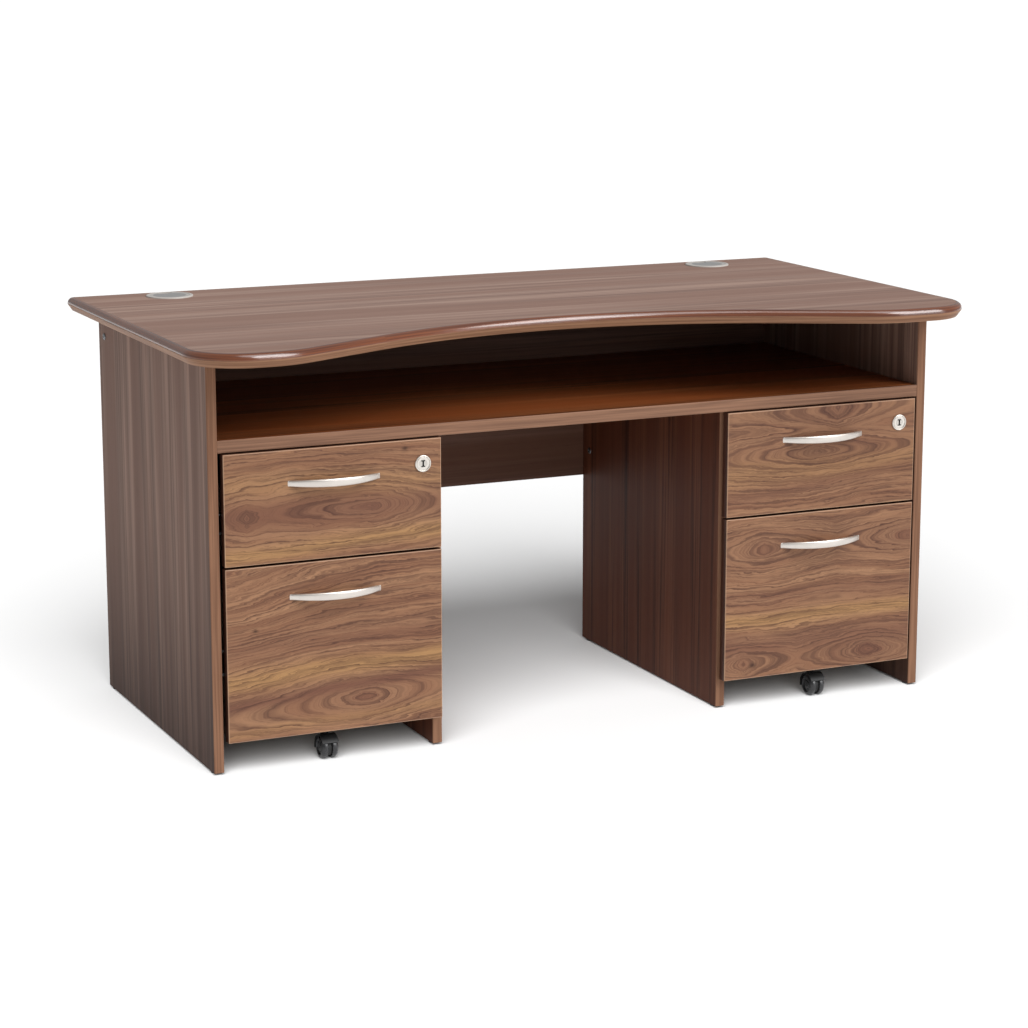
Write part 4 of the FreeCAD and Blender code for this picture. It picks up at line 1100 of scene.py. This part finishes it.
dress(["worktop"],
      straight_walnut("worktop_walnut", "xyz", WORKTOP_SHEENED_TONES, WORKTOP_SEED, WORKTOP_SHEEN, 0.0))
dress(["shelf"],
      straight_walnut("shelf_walnut", "xyz", SHELF_TONES, 4.0, LAMINATE_SHEEN, 0.16,
                      behind_band("shelf")))
dress(["left_end_panel", "right_end_panel"],
      straight_walnut("end_panel_walnut", "zyx", END_TONES, 9.0, SIDE_SHEEN, 0.0,
                      behind_band("left_end_panel"), FOOT_SHADE))
dress(["left_inner_panel", "right_inner_panel"],
      straight_walnut("inner_panel_walnut", "zyx", INNER_SHADED_TONES, 12.0, SIDE_SHEEN, 0.04,
                      behind_band("left_inner_panel")))
dress(["back_panel", "left_pedestal_back", "right_pedestal_back"],
      straight_walnut("back_walnut", "xzy", BACK_TONES, 16.0, SIDE_SHEEN, 0.04))

# Figures of the four drawer fronts. A line: share of height, slant, rings, and its eyes, each
# a share of width, its lengths to the left and right and the share of depth left. A hill:
# share of width, share of height, half length, half breadth, rise. A band, ochre or dusk:
# share of height, slant, breadth, amount. A knot: share of width, share of height, size.
FRONTS = {
    "left_upper": {
        "lines": [(0.42, 0.01, 8.0, [(0.68, 0.330, 0.120, 0.0), (0.10, 0.130, 0.160, 0.30)])],
        "hills": [(0.30, 0.75, 0.080, 0.040, 0.008)],
        "wander": 2.4,
        "ochre": [(0.08, 0.045, 0.014, 0.85), (0.70, -0.02, 0.020, 0.35)],
        "dusk": [(0.42, 0.01, 0.022, 0.45)],
        "knots": [(0.83, 0.93, 0.0035)],
        "seed": 2.0,
    },
    "left_file": {
        "lines": [(0.14, 0.04, 7.0, [(0.64, 0.150, 0.130, 0.0)])],
        "hills": [(0.00, 0.80, 0.130, 0.080, -0.040), (0.35, 0.45, 0.120, 0.050, 0.006)],
        "wander": 2.8,
        "ochre": [(0.35, 0.031, 0.016, 0.9), (0.05, 0.02, 0.010, 0.4)],
        "dusk": [(0.20, 0.07, 0.012, 0.75), (0.53, 0.05, 0.020, 0.35)],
        "knots": [(0.13, 0.635, 0.0030)],
        "seed": 11.0,
    },
    "right_upper": {
        "lines": [(0.56, 0.0, 8.0, [(0.47, 0.280, 0.320, 0.05)]),
                  (0.97, 0.0, 6.0, [(0.58, 0.100, 0.100, 0.30)])],
        "hills": [(0.85, 0.15, 0.120, 0.050, 0.012)],
        "wander": 2.0,
        "ochre": [(0.40, 0.01, 0.026, 0.45)],
        "dusk": [(0.16, 0.09, 0.014, 0.45)],
        "knots": [],
        "seed": 23.0,
    },
    "right_file": {
        "lines": [(0.80, 0.0, 7.0, [(0.20, 0.140, 0.180, 0.15), (0.98, 0.150, 0.150, 0.0)]),
                  (0.09, 0.0, 6.0, [(0.78, 0.130, 0.140, 0.0), (0.10, 0.120, 0.120, 0.25)])],
        "hills": [(0.40, 0.36, 0.060, 0.030, 0.008)],
        "wander": 2.4,
        "ochre": [(0.36, -0.005, 0.016, 0.9)],
        "dusk": [(0.20, 0.0, 0.022, 0.5), (0.50, 0.0, 0.010, 0.35)],
        "knots": [(0.15, 0.08, 0.0045)],
        "seed": 37.0,
    },
}
for place, figure in FRONTS.items():
    node = place + "_drawer_front"
    dress([node], figured_walnut(node, **figure))


# Floor, light and camera

# Three soft suns one above the other at the right front light the desk as a tall strip
# would, each with its elevation and strength. A broad one lights the floor alone.
STRIP_AZIMUTH = -54.0
STRIP_LIGHTS = ((12.0, 0.50), (40.0, 2.20), (68.0, 0.90))
STRIP_SOFTNESS = 38.0
FLOOR_AZIMUTH = -112.0
FLOOR_ELEVATION = 42.0
FLOOR_SOFTNESS = 60.0
FLOOR_STRENGTH = 7.4
SKY_STRENGTH = 0.36

# Half the width of the floor, which fills the view as far as the horizon.
FLOOR_REACH = 300.0


def make_floor():
    """A wide pale floor under the desk."""
    half = FLOOR_REACH
    corners = [(-half, -half, 0), (half, -half, 0), (half, half, 0), (-half, half, 0)]
    mesh = bpy.data.meshes.new("floor")
    mesh.from_pydata(corners, [], [(0, 1, 2, 3)])
    floor = bpy.data.objects.new("floor", mesh)
    bpy.context.scene.collection.objects.link(floor)
    finish = Finish("pale_floor")
    cloud = finish.patches(finish.axes(), 0.8, 3.0)
    colour = finish.mix(cloud, paint(200, 200, 200), paint(196, 196, 196))
    mesh.materials.append(finish.done(Base_Color=colour, Roughness=0.9))
    return floor


def make_sun(name, azimuth, elevation, softness, strength, floor, floor_only):
    """A wide soft light from far away that reaches the floor alone or all but the floor.

    Azimuth, elevation and softness are in degrees, the azimuth from +X towards +Y.
    """
    light = bpy.data.lights.new(name, "SUN")
    light.energy = strength
    light.angle = math.radians(softness)
    lamp = bpy.data.objects.new(name, light)
    turn = math.radians(azimuth)
    rise = math.radians(elevation)
    toward = Vector((math.cos(turn) * math.cos(rise), math.sin(turn) * math.cos(rise),
                     math.sin(rise)))
    lamp.rotation_euler = toward.to_track_quat("Z", "Y").to_euler()
    bpy.context.scene.collection.objects.link(lamp)
    reached = bpy.data.collections.new(name + "_reach")
    reached.objects.link(floor)
    reached.collection_objects[0].light_linking.link_state = "INCLUDE" if floor_only else "EXCLUDE"
    lamp.light_linking.receiver_collection = reached


def make_sky(strength):
    """Even white light of the strength given, which the camera itself sees as plain white."""
    world = bpy.data.worlds.new("studio")
    world.use_nodes = True
    tree = world.node_tree
    tree.nodes.clear()
    seen = add_node(tree, "ShaderNodeLightPath", {}, {}, "Is Camera Ray")
    level = seen * (1.0 - strength) + strength
    white = (1.0, 1.0, 1.0, 1.0)
    sky = add_node(tree, "ShaderNodeBackground", {}, {"Color": white, "Strength": level})
    add_node(tree, "ShaderNodeOutputWorld", {}, {"Surface": sky})
    bpy.context.scene.world = world


def make_camera():
    """Camera that looks at the desk with its lens's centre in the middle of the picture."""
    lens = bpy.data.cameras.new("camera")
    lens.lens = CAMERA_LENS
    lens.sensor_width = CAMERA_SENSOR
    camera = bpy.data.objects.new("camera", lens)
    camera.location = CAMERA_PLACE
    pitch = math.radians(90 + CAMERA_PITCH_DEGREES)
    camera.rotation_euler = (pitch, 0.0, math.radians(CAMERA_YAW_DEGREES))
    bpy.context.scene.collection.objects.link(camera)
    bpy.context.scene.camera = camera


floor = make_floor()
make_sky(SKY_STRENGTH)
for elevation, strength in STRIP_LIGHTS:
    make_sun("strip_%d" % elevation, STRIP_AZIMUTH, elevation, STRIP_SOFTNESS, strength,
             floor, False)
make_sun("floor_light", FLOOR_AZIMUTH, FLOOR_ELEVATION, FLOOR_SOFTNESS, FLOOR_STRENGTH,
         floor, True)
make_camera()
bpy.context.scene.view_settings.view_transform = "Standard"
